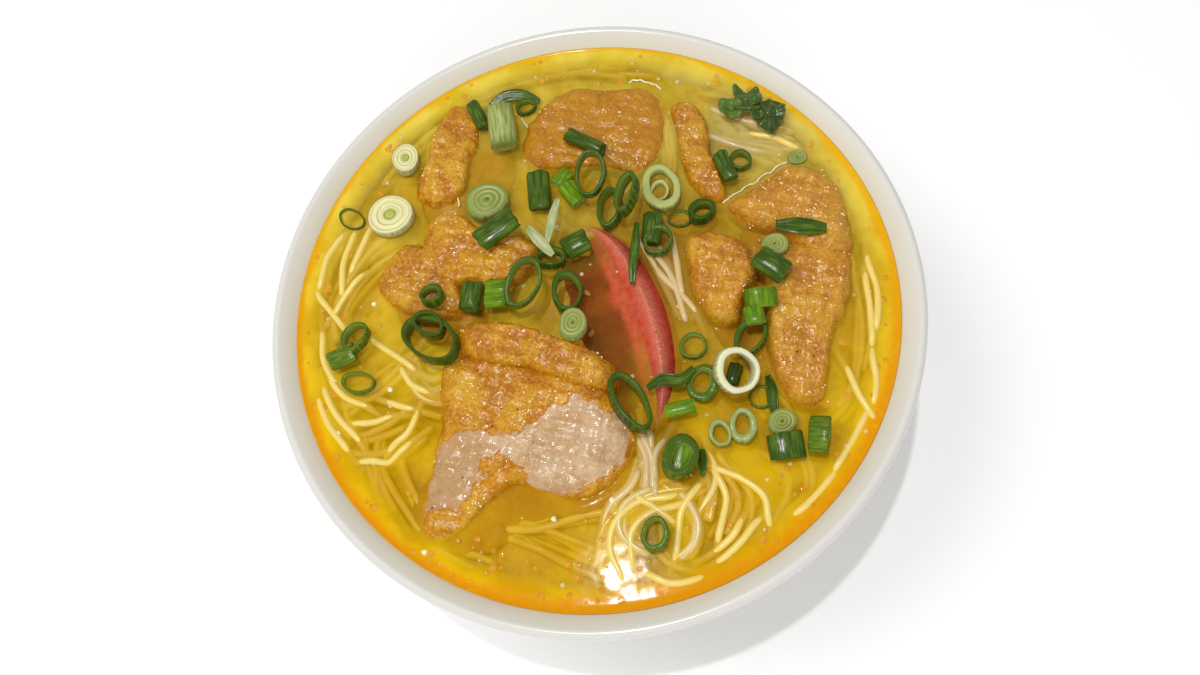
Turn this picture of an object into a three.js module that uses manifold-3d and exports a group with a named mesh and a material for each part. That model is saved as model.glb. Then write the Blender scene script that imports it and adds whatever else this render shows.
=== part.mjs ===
// A white bowl of fish cake noodle soup: broth, noodles, fish cakes, a tomato wedge, herb and scallions.
// Millimetres, +Z up. The origin is on the table, under the middle of the bowl.
import * as THREE from 'three';
import { mergeVertices } from 'three/addons/utils/BufferGeometryUtils.js';
import Module from 'manifold-3d';

const wasm = await Module();
wasm.setup();

// Driving dimensions
const RIM_RADIUS = 99.7;
const RIM_HEIGHT = 67.2;
const LIP_RADIUS = 1.9;
const BOWL_SIDES = 48;
const SOUP_LEVEL = 63.4;
const GAP = 0.3;
const SOUP_EDGE_GAP = 0.35;
const NOODLE_RADIUS = 1.15;
const NOODLE_SIDES = 6;
const NOODLE_TOP = 63.9;
const NOODLE_BED = 48;
const LEAF_THICKNESS = 0.6;
const LIFT_STEP = 0.2;
const RING_SIDES = 10;
const TUBE_SIDES = 8;

// Inner side of the bowl from its middle to the lip, as radius and height.
const INNER_WALL = [[0, 10], [33, 12], [59, 22], [76, 37], [86, 52.5], [92.4, 63.4], [95.9, 65.6]];
// Outer side from the inside of the foot ring to the lip.
const FOOT_RING = [[0, 4.5], [36.5, 4.5], [38, 0], [42, 0]];
const OUTER_WALL = [[43, 5.5], [60, 13.5], [78, 28.5], [90.5, 48.5], [97.3, 61]];

// Shapes

function loft(rings, closedLoop = false) {
  const count = rings[0].length;
  const positions = rings.flat().flatMap((p) => [p.x, p.y, p.z]);
  const index = [];
  const bands = closedLoop ? rings.length : rings.length - 1;
  for (let r = 0; r < bands; r++) {
    const next = (r + 1) % rings.length;
    for (let i = 0; i < count; i++) {
      const j = (i + 1) % count;
      const a = r * count + i;
      const b = r * count + j;
      const c = next * count + j;
      const d = next * count + i;
      index.push(a, b, c, a, c, d);
    }
  }
  if (!closedLoop) {
    for (const end of [0, rings.length - 1]) {
      const centre = rings[end].reduce((sum, p) => sum.add(p), new THREE.Vector3()).divideScalar(count);
      const tip = positions.length / 3;
      positions.push(centre.x, centre.y, centre.z);
      for (let i = 0; i < count; i++) {
        const a = end * count + i;
        const b = end * count + ((i + 1) % count);
        index.push(...(end === 0 ? [tip, b, a] : [tip, a, b]));
      }
    }
  }
  const geometry = new THREE.BufferGeometry();
  geometry.setAttribute('position', new THREE.Float32BufferAttribute(positions, 3));
  geometry.setIndex(index);
  return geometry;
}

function signedVolume(positions, index) {
  let volume = 0;
  const a = new THREE.Vector3();
  const b = new THREE.Vector3();
  const c = new THREE.Vector3();
  for (let t = 0; t < index.length; t += 3) {
    a.fromArray(positions, index[t] * 3);
    b.fromArray(positions, index[t + 1] * 3);
    c.fromArray(positions, index[t + 2] * 3);
    volume += a.dot(b.cross(c)) / 6;
  }
  return volume;
}

function toSolid(source) {
  const bare = source.clone();
  bare.deleteAttribute('normal');
  bare.deleteAttribute('uv');
  const geometry = mergeVertices(bare, 1e-4);
  const vertProperties = new Float32Array(geometry.attributes.position.array);
  const triVerts = new Uint32Array(geometry.index.array);
  if (signedVolume(vertProperties, triVerts) < 0) {
    for (let t = 0; t < triVerts.length; t += 3) {
      [triVerts[t + 1], triVerts[t + 2]] = [triVerts[t + 2], triVerts[t + 1]];
    }
  }
  return new wasm.Manifold(new wasm.Mesh({ numProp: 3, vertProperties, triVerts }));
}

function toGeometry(solid) {
  const mesh = solid.getMesh();
  const geometry = new THREE.BufferGeometry();
  geometry.setAttribute('position', new THREE.Float32BufferAttribute(mesh.vertProperties, 3));
  geometry.setIndex(new THREE.Uint32BufferAttribute(mesh.triVerts, 1));
  geometry.computeVertexNormals();
  return geometry;
}

function join(solids) {
  return solids.reduce((sum, solid) => sum.add(solid));
}

function largest(solid) {
  return solid.decompose().reduce((best, scrap) => (scrap.volume() > best.volume() ? scrap : best));
}

function lathe(profile, sides) {
  const points = profile.map(([radius, height]) => new THREE.Vector2(radius, height));
  return toSolid(new THREE.LatheGeometry(points, sides).rotateX(Math.PI / 2));
}

function closedOutline(points, sides) {
  const curve = new THREE.CatmullRomCurve3(points.map(([x, y]) => new THREE.Vector3(x, y, 0)), true);
  return curve.getSpacedPoints(sides).slice(0, sides);
}

// Moves a level outline outward by a margin, square to its edge.
function widen(points, margin) {
  const count = points.length;
  const area = points.reduce((sum, p, i) => {
    const q = points[(i + 1) % count];
    return sum + p.x * q.y - q.x * p.y;
  }, 0);
  const edges = points.map((p, i) => {
    const along = points[(i + 1) % count].clone().sub(p).normalize();
    return new THREE.Vector3(along.y, -along.x, 0).multiplyScalar(Math.sign(area));
  });
  return points.map((p, i) => {
    const [before, after] = [edges[(i + count - 1) % count], edges[i]];
    const corner = before.clone().add(after).divideScalar(Math.max(0.5, 1 + before.dot(after)));
    return p.clone().addScaledVector(corner, margin);
  });
}

function middleOf(points) {
  return points.reduce((sum, p) => sum.add(p), new THREE.Vector3()).divideScalar(points.length);
}

// Bowl and broth

function makeBowl() {
  const lip = [];
  for (const angle of [-10, 35, 80, 125, 165]) {
    const turn = THREE.MathUtils.degToRad(angle);
    lip.push([
      RIM_RADIUS - LIP_RADIUS + LIP_RADIUS * Math.cos(turn),
      RIM_HEIGHT - LIP_RADIUS + LIP_RADIUS * Math.sin(turn),
    ]);
  }
  const inside = INNER_WALL.slice(0, -1).reverse();
  return lathe([...FOOT_RING, ...OUTER_WALL, ...lip, ...inside], BOWL_SIDES);
}

function wallRadius(height) {
  const above = INNER_WALL.findIndex(([, z]) => z >= height);
  if (above < 1) return INNER_WALL[INNER_WALL.length - 1][0];
  const [[r0, z0], [r1, z1]] = [INNER_WALL[above - 1], INNER_WALL[above]];
  return r0 + ((r1 - r0) * (height - z0)) / (z1 - z0);
}

// The room inside the bowl up to a level, drawn in from the wall by a margin.
function bowlRoom(margin, level) {
  const below = INNER_WALL
    .map(([r, z]) => [Math.max(0, r - margin), z + margin])
    .filter(([, z]) => z < level - 0.5);
  return lathe([...below, [wallRadius(level - margin) - margin, level], [0, level]], BOWL_SIDES);
}

// Fish cakes: fried patties with a rounded edge, a craggy crust and a flatter underside.

const CAKE_RINGS = [[0.86, -1], [1, 0], [0.94, 0.5], [0.78, 0.85], [0.42, 1]];
const CAKE_SIDES = 18;
const WATERLINE = 63;
const CAKE_BASE = 50;

const FISH_CAKES = {
  fish_cake_left_back: [
    {
      outline: [[-47, 73], [-40, 68], [-38, 57], [-41, 48], [-42, 40], [-47, 34], [-56, 35.5], [-58, 43],
        [-55, 50], [-54, 61]],
      top: 66.2, slope: [-0.03, -0.06], crag: 0.6, base: 57,
    },
  ],
  fish_cake_left: [
    {
      outline: [[-52, 29], [-44, 31], [-37, 26], [-29, 22], [-19, 21], [-16, 14], [-22, 6], [-31, 4],
        [-42, 5], [-51, 9], [-54, 19]],
      top: 68.6, slope: [0.02, 0.03], crag: 0.9,
    },
    {
      outline: [[-60, 20], [-53, 20], [-46, 11], [-40, 4], [-37, -3], [-43, -6], [-54, -4], [-64, 1],
        [-68, 6], [-65, 14]],
      top: 67, slope: [0.05, 0.02], crag: 0.8,
    },
  ],
  fish_cake_back: [
    {
      outline: [[-24, 54], [-21, 65], [-15, 73], [-5, 77], [5, 76], [15, 76], [22, 71], [23, 60], [21, 49],
        [13, 44], [2, 47], [-9, 46], [-19, 47]],
      top: 65.8, slope: [-0.03, -0.01], crag: 0.6,
    },
  ],
  fish_cake_back_strip: [
    {
      outline: [[25.2, 68.5], [30.5, 70], [35.2, 65], [37.5, 57], [37.5, 49], [40.8, 41], [42, 33.5],
        [40, 31.5], [36, 33.2], [30.5, 39], [28, 50], [26.3, 59]],
      top: 67.2, slope: [0.02, -0.05], crag: 0.7,
    },
  ],
  fish_cake_right: [
    {
      outline: [[42, 30.5], [49, 36], [56, 41], [62, 44.5], [69, 43], [74, 39.5], [77.5, 33], [79.5, 24],
        [79, 13], [71, 10], [64, 14], [58, 19], [49, 23]],
      top: 68.6, slope: [0.02, -0.05], crag: 0.9,
    },
    {
      outline: [[54, 14], [66, 18], [78, 16], [79, 6], [77, -3], [72, -13], [70, -25], [67, -34], [61, -34],
        [56, -28], [53, -18], [52.5, -9], [53, 2]],
      top: 68.4, slope: [-0.02, 0.04], crag: 0.9,
    },
  ],
  fish_cake_right_inner: [
    {
      outline: [[29, 18], [34, 22], [41, 21], [47, 17], [50, 11], [50.5, 4], [46.5, -3], [44, -9], [38, -9],
        [33, -2], [30, 8]],
      top: 69, slope: [0.03, 0.04], crag: 0.9,
    },
  ],
  fish_cake_front: [
    {
      outline: [[-40, -9], [-30, -7], [-19, -9], [-8, -13], [1, -17], [8, -22], [9, -29], [1, -30],
        [-8, -27], [-20, -23], [-34, -21], [-41, -16]],
      top: 71, slope: [-0.02, 0.04], crag: 0.8,
    },
    {
      outline: [[-43, -17], [-33, -16], [-20, -19], [-8, -23], [4, -27], [11, -33], [14, -44], [9, -55],
        [-2, -61], [-11, -59], [-20, -57], [-28, -62], [-36, -70], [-44, -74], [-48, -70], [-47, -60],
        [-45, -48], [-44, -36], [-45, -26]],
      top: 68, slope: [0.04, 0.1], crag: 0.9,
    },
  ],
};

function cragHeight(x, y) {
  const wide = Math.sin(x * 0.42 + 1.3) * Math.cos(y * 0.37 - 0.6);
  const fine = Math.sin(x * 0.83 + y * 0.59) * Math.cos(y * 0.91 - x * 0.47 + 0.8);
  return 0.6 * wide + 0.4 * fine;
}

function patty({ outline, top, slope, crag, base = CAKE_BASE }) {
  const rim = closedOutline(outline, CAKE_SIDES);
  const centre = middleOf(rim);
  return toSolid(loft(CAKE_RINGS.map(([share, rise]) => rim.map((p) => {
    const at = p.clone().sub(centre).multiplyScalar(share).add(centre);
    const lean = slope[0] * (at.x - centre.x) + slope[1] * (at.y - centre.y);
    const upper = rise * (top - WATERLINE + lean + crag * cragHeight(at.x, at.y));
    return at.setZ(WATERLINE + (rise > 0 ? upper : rise * (WATERLINE - base)));
  }))));
}

// The room that a patty takes in the broth and noodles, straight down from its widest outline.
function pattyRoom({ outline, base = CAKE_BASE }) {
  const rim = widen(closedOutline(outline, CAKE_SIDES), GAP);
  const level = (z) => rim.map((p) => p.clone().setZ(z));
  return toSolid(loft([level(base - GAP), level(RIM_HEIGHT + 6)]));
}

// Tomato wedge: a slice of a plum tomato lying on one cut face, the skin to the right.
// Its section is the skin's arc from the lower edge up to the ridge, and then the other cut face,
// given as distances from the wedge's axis to the side and up.

const TOMATO = {
  middle: [0.5, -9.4], heading: -72, halfLength: 37, width: 25, height: 13, axisHeight: 58.5,
  ridge: 44, skinEdge: -5, steps: 13, skinSteps: 4, bluntness: 0.75,
  cutFace: [[11.5, 3.1], [2, 1.9]], heart: [-4.5, -1.2],
};

function tomatoWedge(grow = 0) {
  const along = THREE.MathUtils.degToRad(TOMATO.heading);
  const forward = new THREE.Vector3(Math.cos(along), Math.sin(along), 0);
  const side = new THREE.Vector3(-Math.sin(along), Math.cos(along), 0);
  const up = new THREE.Vector3(0, 0, 1);
  const rings = [];
  for (let i = 0; i < TOMATO.steps; i++) {
    const latitude = Math.PI * ((i + 0.5) / TOMATO.steps - 0.5);
    const distance = (TOMATO.halfLength + grow) * Math.sin(latitude);
    const share = Math.cos(latitude) ** TOMATO.bluntness;
    const origin = new THREE.Vector3(...TOMATO.middle, TOMATO.axisHeight).addScaledVector(forward, distance);
    const at = (across, rise) => origin.clone().addScaledVector(side, across).addScaledVector(up, rise);
    const ring = [at(TOMATO.heart[0] * share - 4.4 * grow, TOMATO.heart[1] * share - grow)];
    for (let s = 0; s <= TOMATO.skinSteps; s++) {
      const degrees = TOMATO.skinEdge + ((TOMATO.ridge - TOMATO.skinEdge) * s) / TOMATO.skinSteps;
      const turn = THREE.MathUtils.degToRad(degrees);
      const end = s === TOMATO.skinSteps ? 1.5 : s === 0 ? -1.5 : 0;
      const across = (TOMATO.width * share + grow) * Math.cos(turn);
      ring.push(at(across, (TOMATO.height * share + grow) * Math.sin(turn) + end * grow));
    }
    for (const [across, rise] of TOMATO.cutFace) {
      ring.push(at(across * share - 0.6 * grow, rise * share + 1.3 * grow));
    }
    rings.push(ring);
  }
  return toSolid(loft(rings));
}

// Noodles: a bed under the broth, with beds that reach the surface and carry the strands that show.

const NOODLE_BEDS = [
  [[-90, 20], [-84, 27], [-76, 29], [-70, 26], [-71, 14], [-75, 4], [-78, -5], [-62, -9],
    [-50, -14], [-47, -24], [-47, -33], [-50, -46], [-58, -53], [-68, -52], [-79, -42], [-86, -28],
    [-90, -10], [-91, 5]],
  [[3, -68], [9, -61], [18, -58], [30, -55], [40, -50], [49, -53], [55, -63], [51, -71], [41, -79],
    [28, -87], [14, -87], [5, -82]],
  [[80, 2], [82, 20], [86, 24], [90, 14], [91, 0], [89, -20], [85, -38], [78, -51], [69, -63], [57, -71],
    [52, -67], [58, -56], [67, -49], [74, -36], [76, -22], [78, -10]],
  [[36, 68], [46, 63], [57, 58], [66, 55], [63, 50], [52, 52], [42, 56]],
];

const NOODLE_STRANDS = [
  [[-82, 24], [-85.5, 17], [-87, 7]], [[-78, 24], [-80, 15], [-79.5, 6]],
  [[-73, 25], [-75, 19], [-77, 13]], [[-74, 10], [-78.5, 3], [-81.5, -3]], [[-87, 4], [-82, -2], [-77, -8]],
  [[-84, -10], [-83, -17], [-79, -24]], [[-67, -12], [-61, -16], [-55, -20]],
  [[-57, -22], [-54, -26], [-50, -28]], [[-79, -25], [-74, -30], [-67, -33]],
  [[-62, -31], [-56, -33], [-51, -34]], [[-60, -36], [-64, -37.5], [-69, -38]],
  [[-81, -28], [-76, -36], [-69, -43]], [[-82.5, -31], [-78.5, -38.5], [-72.5, -45.5]],
  [[-52, -36], [-54, -41], [-58, -45]], [[-56, -47], [-59, -50], [-64, -49.5]],
  [[24, -60], [14, -62], [8, -68], [7, -75], [10, -82]], [[27, -62], [18, -65], [13, -70], [13, -77]],
  [[31, -58], [27, -64], [26, -70], [25, -77]], [[37, -54], [39.5, -60], [38.5, -66], [37, -72]],
  [[37, -52], [44, -55], [50, -60], [51, -66]], [[44, -66], [41, -71], [35, -76]],
  [[16, -81], [24, -84], [33, -82]], [[48, -67], [43, -73], [37, -78]],
  [[15, -60.5], [19, -63], [23, -66]], [[71, -52], [66, -58], [61, -63], [57, -66]],
  [[79, -38], [75, -45], [71, -51]],
  [[83, -19], [83.5, -26], [82.5, -32]], [[84, 12], [86, 2], [85, -9]], [[83, 8], [83.5, -4], [83, -16]],
  [[40, 62], [48, 59], [56, 55]], [[52, 57], [58, 55.5], [63, 52.5]],
];

function noodleCore(grow) {
  const profile = [0, 2, 3]
    .map((i) => INNER_WALL[i])
    .map(([r, z]) => [Math.max(0, r - 4 + grow), z + 4 - grow]);
  const top = NOODLE_BED + grow;
  const bed = lathe([...profile, [wallRadius(NOODLE_BED) - 5 + grow, top], [0, top]], BOWL_SIDES / 2);
  const room = bowlRoom(1.6 - grow, RIM_HEIGHT);
  const beds = NOODLE_BEDS.map((outline) => {
    const rim = widen(closedOutline(outline, 16), grow);
    const level = (z, share) => rim.map((p) => p.clone().multiplyScalar(share).setZ(z));
    return toSolid(loft([level(NOODLE_BED - 5 - grow, 0.82), level(NOODLE_TOP + grow, 1)])).intersect(room);
  });
  return join([bed, ...beds]);
}

function noodleStrand(points) {
  const last = points.length - 1;
  const path = new THREE.CatmullRomCurve3(points.map(([x, y], i) => {
    const sunk = i === 0 || i === last ? 1.1 : 0;
    return new THREE.Vector3(x, y, NOODLE_TOP + 0.45 - sunk);
  }));
  const steps = last + 1;
  const rings = [];
  for (let i = 0; i <= steps; i++) {
    const at = path.getPointAt(i / steps);
    const tangent = path.getTangentAt(i / steps);
    const side = new THREE.Vector3(-tangent.y, tangent.x, 0).normalize();
    const lift = tangent.clone().cross(side);
    const ring = [];
    for (let k = 0; k < NOODLE_SIDES; k++) {
      const turn = (2 * Math.PI * (k + 0.5)) / NOODLE_SIDES;
      const out = side.clone().multiplyScalar(NOODLE_RADIUS * Math.cos(turn));
      ring.push(at.clone().add(out).addScaledVector(lift, NOODLE_RADIUS * Math.sin(turn)));
    }
    rings.push(ring);
  }
  return toSolid(loft(rings));
}

// Scallions: sections of hollow leaf, slices of the white stalk, and strips.
// A piece leans by an angle from upright towards a heading, and turn is the heading of its long side.

function pose(geometry, x, y, turn, lean, toward) {
  return toSolid(geometry
    .rotateZ(THREE.MathUtils.degToRad(turn - toward))
    .rotateY(THREE.MathUtils.degToRad(lean))
    .rotateZ(THREE.MathUtils.degToRad(toward))
    .translate(x, y, 0));
}

function ovalRing(long, short, z, sides = RING_SIDES) {
  return Array.from({ length: sides }, (_, i) => {
    const turn = (2 * Math.PI * i) / sides;
    return new THREE.Vector3((long / 2) * Math.cos(turn), (short / 2) * Math.sin(turn), z);
  });
}

// An upright or tilted section of leaf, open at both ends.
function ring(x, y, long, short, tall, wall, turn, lean = 0, toward = 0, sides = RING_SIDES) {
  const oval = (inset, z) => ovalRing(long - 2 * inset, short - 2 * inset, z, sides);
  const rings = [oval(0, -tall / 2), oval(0, tall / 2), oval(wall, tall / 2), oval(wall, -tall / 2)];
  return pose(loft(rings, true), x, y, turn, lean, toward);
}

// A section of leaf on its side: its axis has a heading, and dips by a few degrees.
function lying(x, y, length, width, height, heading, rise = 4) {
  return ring(x, y, height, width, length, 0.9, heading, 90 - rise, heading, TUBE_SIDES);
}

// A solid slice of the stalk.
function slice(x, y, long, short, tall, turn, lean = 0, toward = 0) {
  const rings = [
    ovalRing(long * 0.94, short * 0.94, -tall / 2),
    ovalRing(long, short, 0),
    ovalRing(long * 0.94, short * 0.94, tall / 2),
  ];
  return pose(loft(rings), x, y, turn, lean, toward);
}

// A strip of leaf along a path of x, y and rise. Roll 0 lies flat, and roll 90 stands on edge.
function strip(points, width, roll) {
  const path = new THREE.CatmullRomCurve3(points.map(([x, y, rise = 0]) => new THREE.Vector3(x, y, rise)));
  const steps = 3 * (points.length - 1);
  const turn = THREE.MathUtils.degToRad(roll);
  const rings = [];
  for (let i = 0; i <= steps; i++) {
    const at = path.getPointAt(i / steps);
    const tangent = path.getTangentAt(i / steps);
    const level = new THREE.Vector3(-tangent.y, tangent.x, 0).normalize();
    const upright = tangent.clone().cross(level);
    const across = level.clone().multiplyScalar(Math.cos(turn)).addScaledVector(upright, Math.sin(turn));
    const through = tangent.clone().cross(across);
    const taper = 0.35 + 0.65 * Math.sin((Math.PI * (i + 1)) / (steps + 2));
    const half = (width / 2) * taper;
    const corners = [[-1, -1], [1, -1], [1, 1], [-1, 1]];
    rings.push(corners.map(([u, v]) => at.clone().addScaledVector(across, u * half)
      .addScaledVector(through, (v * LEAF_THICKNESS) / 2)));
  }
  return toSolid(loft(rings));
}

// From the lowest pieces to those that lie on others.
const SCALLIONS = {
  scallion_white_slice: ['white', slice(-65, 30, 14.8, 14, 3.4, 35)],
  scallion_cream_slice: ['white', slice(-61.7, 50, 10, 8.5, 4, 90, 12, -20)],
  scallion_left_ring_and_leaf: [
    'mid', ring(-72, -12, 10, 8, 3.6, 1.1, 60, 8, 120), lying(-75.5, -18, 8.5, 6.5, 2.6, 25, 3),
  ],
  scallion_left_thin_ring: ['mid', ring(-70, -26, 10.6, 7, 2, 0.8, -12)],
  scallion_left_small_ring: ['mid', ring(-47.8, -0.1, 7.2, 6.8, 3.8, 1.1, 0, 12, 100)],
  scallion_left_long_loops: [
    'dark', ring(-47.5, -13.6, 21, 13.5, 4.4, 1.2, -40, 14, 140), ring(-48.5, -9, 11, 7.5, 4.6, 1, -30),
  ],
  scallion_centre_dark_tube: ['dark', lying(-36.5, 0.5, 9, 6.6, 4.4, 84)],
  scallion_centre_pair: [
    'bright', lying(-28.8, 3.2, 6.6, 5.6, 3.2, 5, 2), lying(-28.8, -1, 6.6, 4.6, 3, 2, 2),
  ],
  scallion_centre_dark_ring: ['dark', ring(-19.8, 3, 16, 10.6, 4.6, 1.4, 68, 14, -40)],
  scallion_centre_small_ring: ['dark', ring(-12.3, 13.5, 9.4, 6.8, 3.4, 1.1, 5, 10, 60)],
  scallion_centre_ring: ['dark', ring(-7, 1.8, 13, 9.6, 4.4, 1.3, 100, 8, 20)],
  scallion_centre_green_slice: ['pale', slice(-4.5, -10, 10.4, 8.8, 3, 80, 6, 90)],
  scallion_back_block: ['dark', lying(-17, 37, 12.5, 7.6, 4.2, 96)],
  scallion_white_shreds: [
    'white', strip([[-10.6, 33, 0], [-12, 26, 0.6], [-13.6, 17.4, 0]], 3, 10),
    strip([[-20, 23.5, 0.2], [-16, 18.5, 0.4], [-11.5, 13.5, 0]], 3.6, 5),
  ],
  scallion_back_bright_pair: [
    'bright', lying(-9.6, 41.6, 6, 5.4, 3.4, 52, 2), lying(-6.2, 36, 7.6, 6.4, 4, 125, 2),
  ],
  scallion_tomato_block: ['dark', lying(-4.5, 17.7, 8, 8, 4.2, 28)],
  scallion_pale_disc: ['pale', slice(-33.5, 33.5, 14, 13, 3.6, 20, 8, 60)],
  scallion_left_dark_tube: ['dark', lying(-28.8, 21.4, 13.5, 7.6, 4, 38, 2)],
  scallion_stalk: ['pale', slice(-29.9, 60, 9.2, 7.4, 13.8, 8, 80, 98)],
  scallion_back_left_tube: ['dark', lying(-38.6, 66.1, 10, 4.8, 3.8, 118)],
  scallion_back_leaf_and_ring: [
    'dark', strip([[-35, 70.5, 0], [-30, 73.5, 0.6], [-24, 73.7, 0.5], [-18.5, 71.5, 0]], 4.2, 15),
    ring(-23, 69.5, 7.2, 5.6, 2, 0.9, 10),
  ],
  scallion_back_long_tube: ['dark', lying(-2.6, 53.3, 13.4, 5, 3.8, 152, 2)],
  scallion_back_loop: ['dark', ring(0, 39.8, 15, 9.6, 4.4, 1.2, 80, 14, 270)],
  scallion_middle_left_ring: ['dark', ring(5.8, 29.8, 13.4, 8, 4.4, 1.2, 82, 8, 180)],
  scallion_middle_long_ring: ['dark', ring(11.4, 31.8, 14.8, 6.4, 4.4, 1.2, 76, 20, 170)],
  scallion_big_pale_curl: ['pale', ring(21.8, 37.2, 15.8, 12.2, 3, 2.4, 100)],
  scallion_middle_block_and_ring: [
    'dark', ring(20.8, 18.6, 9.8, 9.2, 3.4, 1.1, 60), lying(18.8, 23, 9.6, 6.2, 3.8, 86),
  ],
  scallion_middle_right_ring: ['dark', ring(34.4, 28.2, 8.8, 7.8, 3.6, 1.5, 30, 10, 90)],
  scallion_hanging_leaf: [
    'dark', strip([[14.4, 24, 0.4], [14, 17, 1], [13.2, 10, 1], [13, 3.5, 0]], 3, 10),
  ],
  scallion_right_back_ring: ['mid', ring(46.9, 46.2, 7.2, 6.8, 2.8, 1, 20)],
  scallion_right_back_tube: ['dark', lying(42, 43, 9.6, 5, 3.8, 112)],
  scallion_right_leaf: [
    'dark', strip([[56.5, 21, 0], [60.5, 20.6, 0.4], [65, 20, 0.5], [71.5, 19.5, 0]], 5.6, 0),
  ],
  scallion_right_pale_slice: ['pale', slice(56, 14.6, 8.2, 7, 2.4, 10, 6, 200)],
  scallion_right_dark_block: ['dark', lying(54.5, 7, 10, 7.8, 4.2, 142, 2)],
  scallion_right_loop: ['dark', ring(47.8, -14, 13, 8.6, 3.8, 1.2, 62, 8, 160)],
  scallion_right_bright_tubes: [
    'bright', lying(51, -3, 5.6, 9.4, 4.6, 96, 14), lying(49, -8.4, 5.4, 6, 3.4, 100, 2),
  ],
  scallion_middle_thin_ring: ['mid', ring(31, -15.7, 8.4, 7.9, 2, 0.9, 70)],
  scallion_front_green_ring: ['mid', ring(33.6, -27.6, 11.5, 9.2, 3.4, 2.2, 75)],
  scallion_right_grey_leaf: [
    'dark', strip([[52.6, -25, 0], [53.4, -29, 0.6], [53.8, -34, 0.4], [54.4, -37.5, 0]], 3.4, 20),
  ],
  scallion_big_white_ring: ['white', ring(43, -25.4, 13.8, 12.4, 5.2, 1.8, 105, 22, -50)],
  scallion_front_long_loop: ['dark', ring(12.5, -34, 19.2, 9.6, 4.6, 1.3, -58, 12, 30)],
  scallion_front_leaf_arc: [
    'dark', strip([[17.6, -29.5, 0], [22, -27, 0.6], [27, -27.4, 0.6], [31, -23.6, 0]], 3.8, 20),
  ],
  scallion_front_small_tube: ['bright', lying(27, -35.4, 8.4, 4.4, 3, 12, 2)],
  scallion_front_pale_rings: [
    'pale', ring(44.8, -40.4, 10, 8.2, 3.2, 1.9, 85), ring(38.2, -42.6, 8.2, 6.4, 3.2, 1.2, 100),
  ],
  scallion_front_right_tube: ['dark', lying(56.6, -46.4, 7.4, 10, 4.2, 98)],
  scallion_front_white_end_tube: ['mid', lying(66, -43.4, 5.4, 11.2, 5.4, -8, 16)],
  scallion_front_green_stack: ['mid', ring(26.8, -49.6, 13.4, 9.8, 4.2, 2.8, 72, 10, 40)],
  scallion_front_ring: ['mid', ring(19.7, -71.2, 9.4, 8, 3.4, 1.5, 80)],
};

// Herb: three leaflets on one short stem, thin and wavy.

const LEAFLETS = [
  [[40.5, 67.5], [42, 62.5], [47, 61.5], [48.5, 66], [45, 69]],
  [[45.5, 73.5], [46.5, 67.5], [51, 65.5], [54.5, 68], [53, 72.5], [50, 71]],
  [[51, 65], [52, 60], [55, 57], [57, 54.5], [59, 57.5], [61, 61], [61.5, 66], [56, 67.5]],
];

function leaflet(outline, number) {
  const rim = closedOutline(outline, 8);
  const centre = middleOf(rim);
  const wave = (p) => 0.5 * Math.sin(p.x * 1.1 + number) + 0.4 * Math.cos(p.y * 1.3 - number);
  const sheet = (side) => [1, 0.55].map((share) => rim.map((p) => {
    const at = p.clone().sub(centre).multiplyScalar(share).add(centre);
    return at.setZ(wave(at) + (side * LEAF_THICKNESS) / 2);
  }));
  const [lowerRim, lowerInner] = sheet(-1);
  const [upperRim, upperInner] = sheet(1);
  return toSolid(loft([lowerInner, lowerRim, upperRim, upperInner]));
}

function herbSprig() {
  const stem = strip([[46.5, 65, 0.1], [53.5, 64.6, 0.1]], 2.6, 0);
  return join([stem, ...LEAFLETS.map(leaflet)]);
}

// Raises a piece from the broth until it is clear of everything placed before it.
function settle(solid, placed) {
  let raised = solid.translate([0, 0, SOUP_LEVEL + GAP - solid.boundingBox().min[2]]);
  const near = placed.filter((other) => {
    const a = raised.boundingBox();
    const b = other.boundingBox();
    return [0, 1].every((axis) => a.min[axis] - GAP < b.max[axis] && b.min[axis] - GAP < a.max[axis]);
  });
  while (near.some((other) => raised.minGap(other, GAP + 0.1) < GAP)) {
    raised = raised.translate([0, 0, LIFT_STEP]);
  }
  return raised;
}

const FINISHES = {
  bowl: { color: 0xe8e8e6, roughness: 0.15 },
  broth: { color: 0xcfa52a, roughness: 0.1 },
  noodles: { color: 0xe6d08c, roughness: 0.35 },
  fishCake: { color: 0xc98a32, roughness: 0.4 },
  tomato: { color: 0xc0392b, roughness: 0.25 },
  herb: { color: 0x1f4a1c, roughness: 0.35 },
  dark: { color: 0x2c5e1c, roughness: 0.3 },
  mid: { color: 0x4d7d22, roughness: 0.3 },
  bright: { color: 0x5f9a12, roughness: 0.3 },
  pale: { color: 0xa4b77a, roughness: 0.35 },
  white: { color: 0xdfe0c8, roughness: 0.35 },
};

const part = new THREE.Group();

function addPiece(name, solid, finish) {
  const material = new THREE.MeshStandardMaterial({ ...FINISHES[finish], metalness: 0 });
  const mesh = new THREE.Mesh(toGeometry(solid), material);
  mesh.name = name;
  part.add(mesh);
}

const tomato = tomatoWedge();
const grownTomato = tomatoWedge(GAP);
const cakes = Object.entries(FISH_CAKES)
  .map(([name, patties]) => [name, largest(join(patties.map(patty)).subtract(grownTomato))]);
const foodRoom = [grownTomato, ...Object.values(FISH_CAKES).flat().map(pattyRoom)];

const core = largest(foodRoom.reduce((solid, food) => solid.subtract(food), noodleCore(0)));
const broth = largest([noodleCore(GAP), ...foodRoom].reduce(
  (solid, food) => solid.subtract(food), bowlRoom(SOUP_EDGE_GAP, SOUP_LEVEL)));
const bowl = makeBowl();

// A strand that would cross the bowl, the broth or a topping is left out.
const neighbours = [bowl, broth, tomato, ...cakes.map(([, solid]) => solid)];
const strands = NOODLE_STRANDS.map(noodleStrand)
  .filter((strand) => neighbours.every((other) => strand.minGap(other, GAP) > GAP / 3));
const noodles = largest(join([core, ...strands]));

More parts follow.
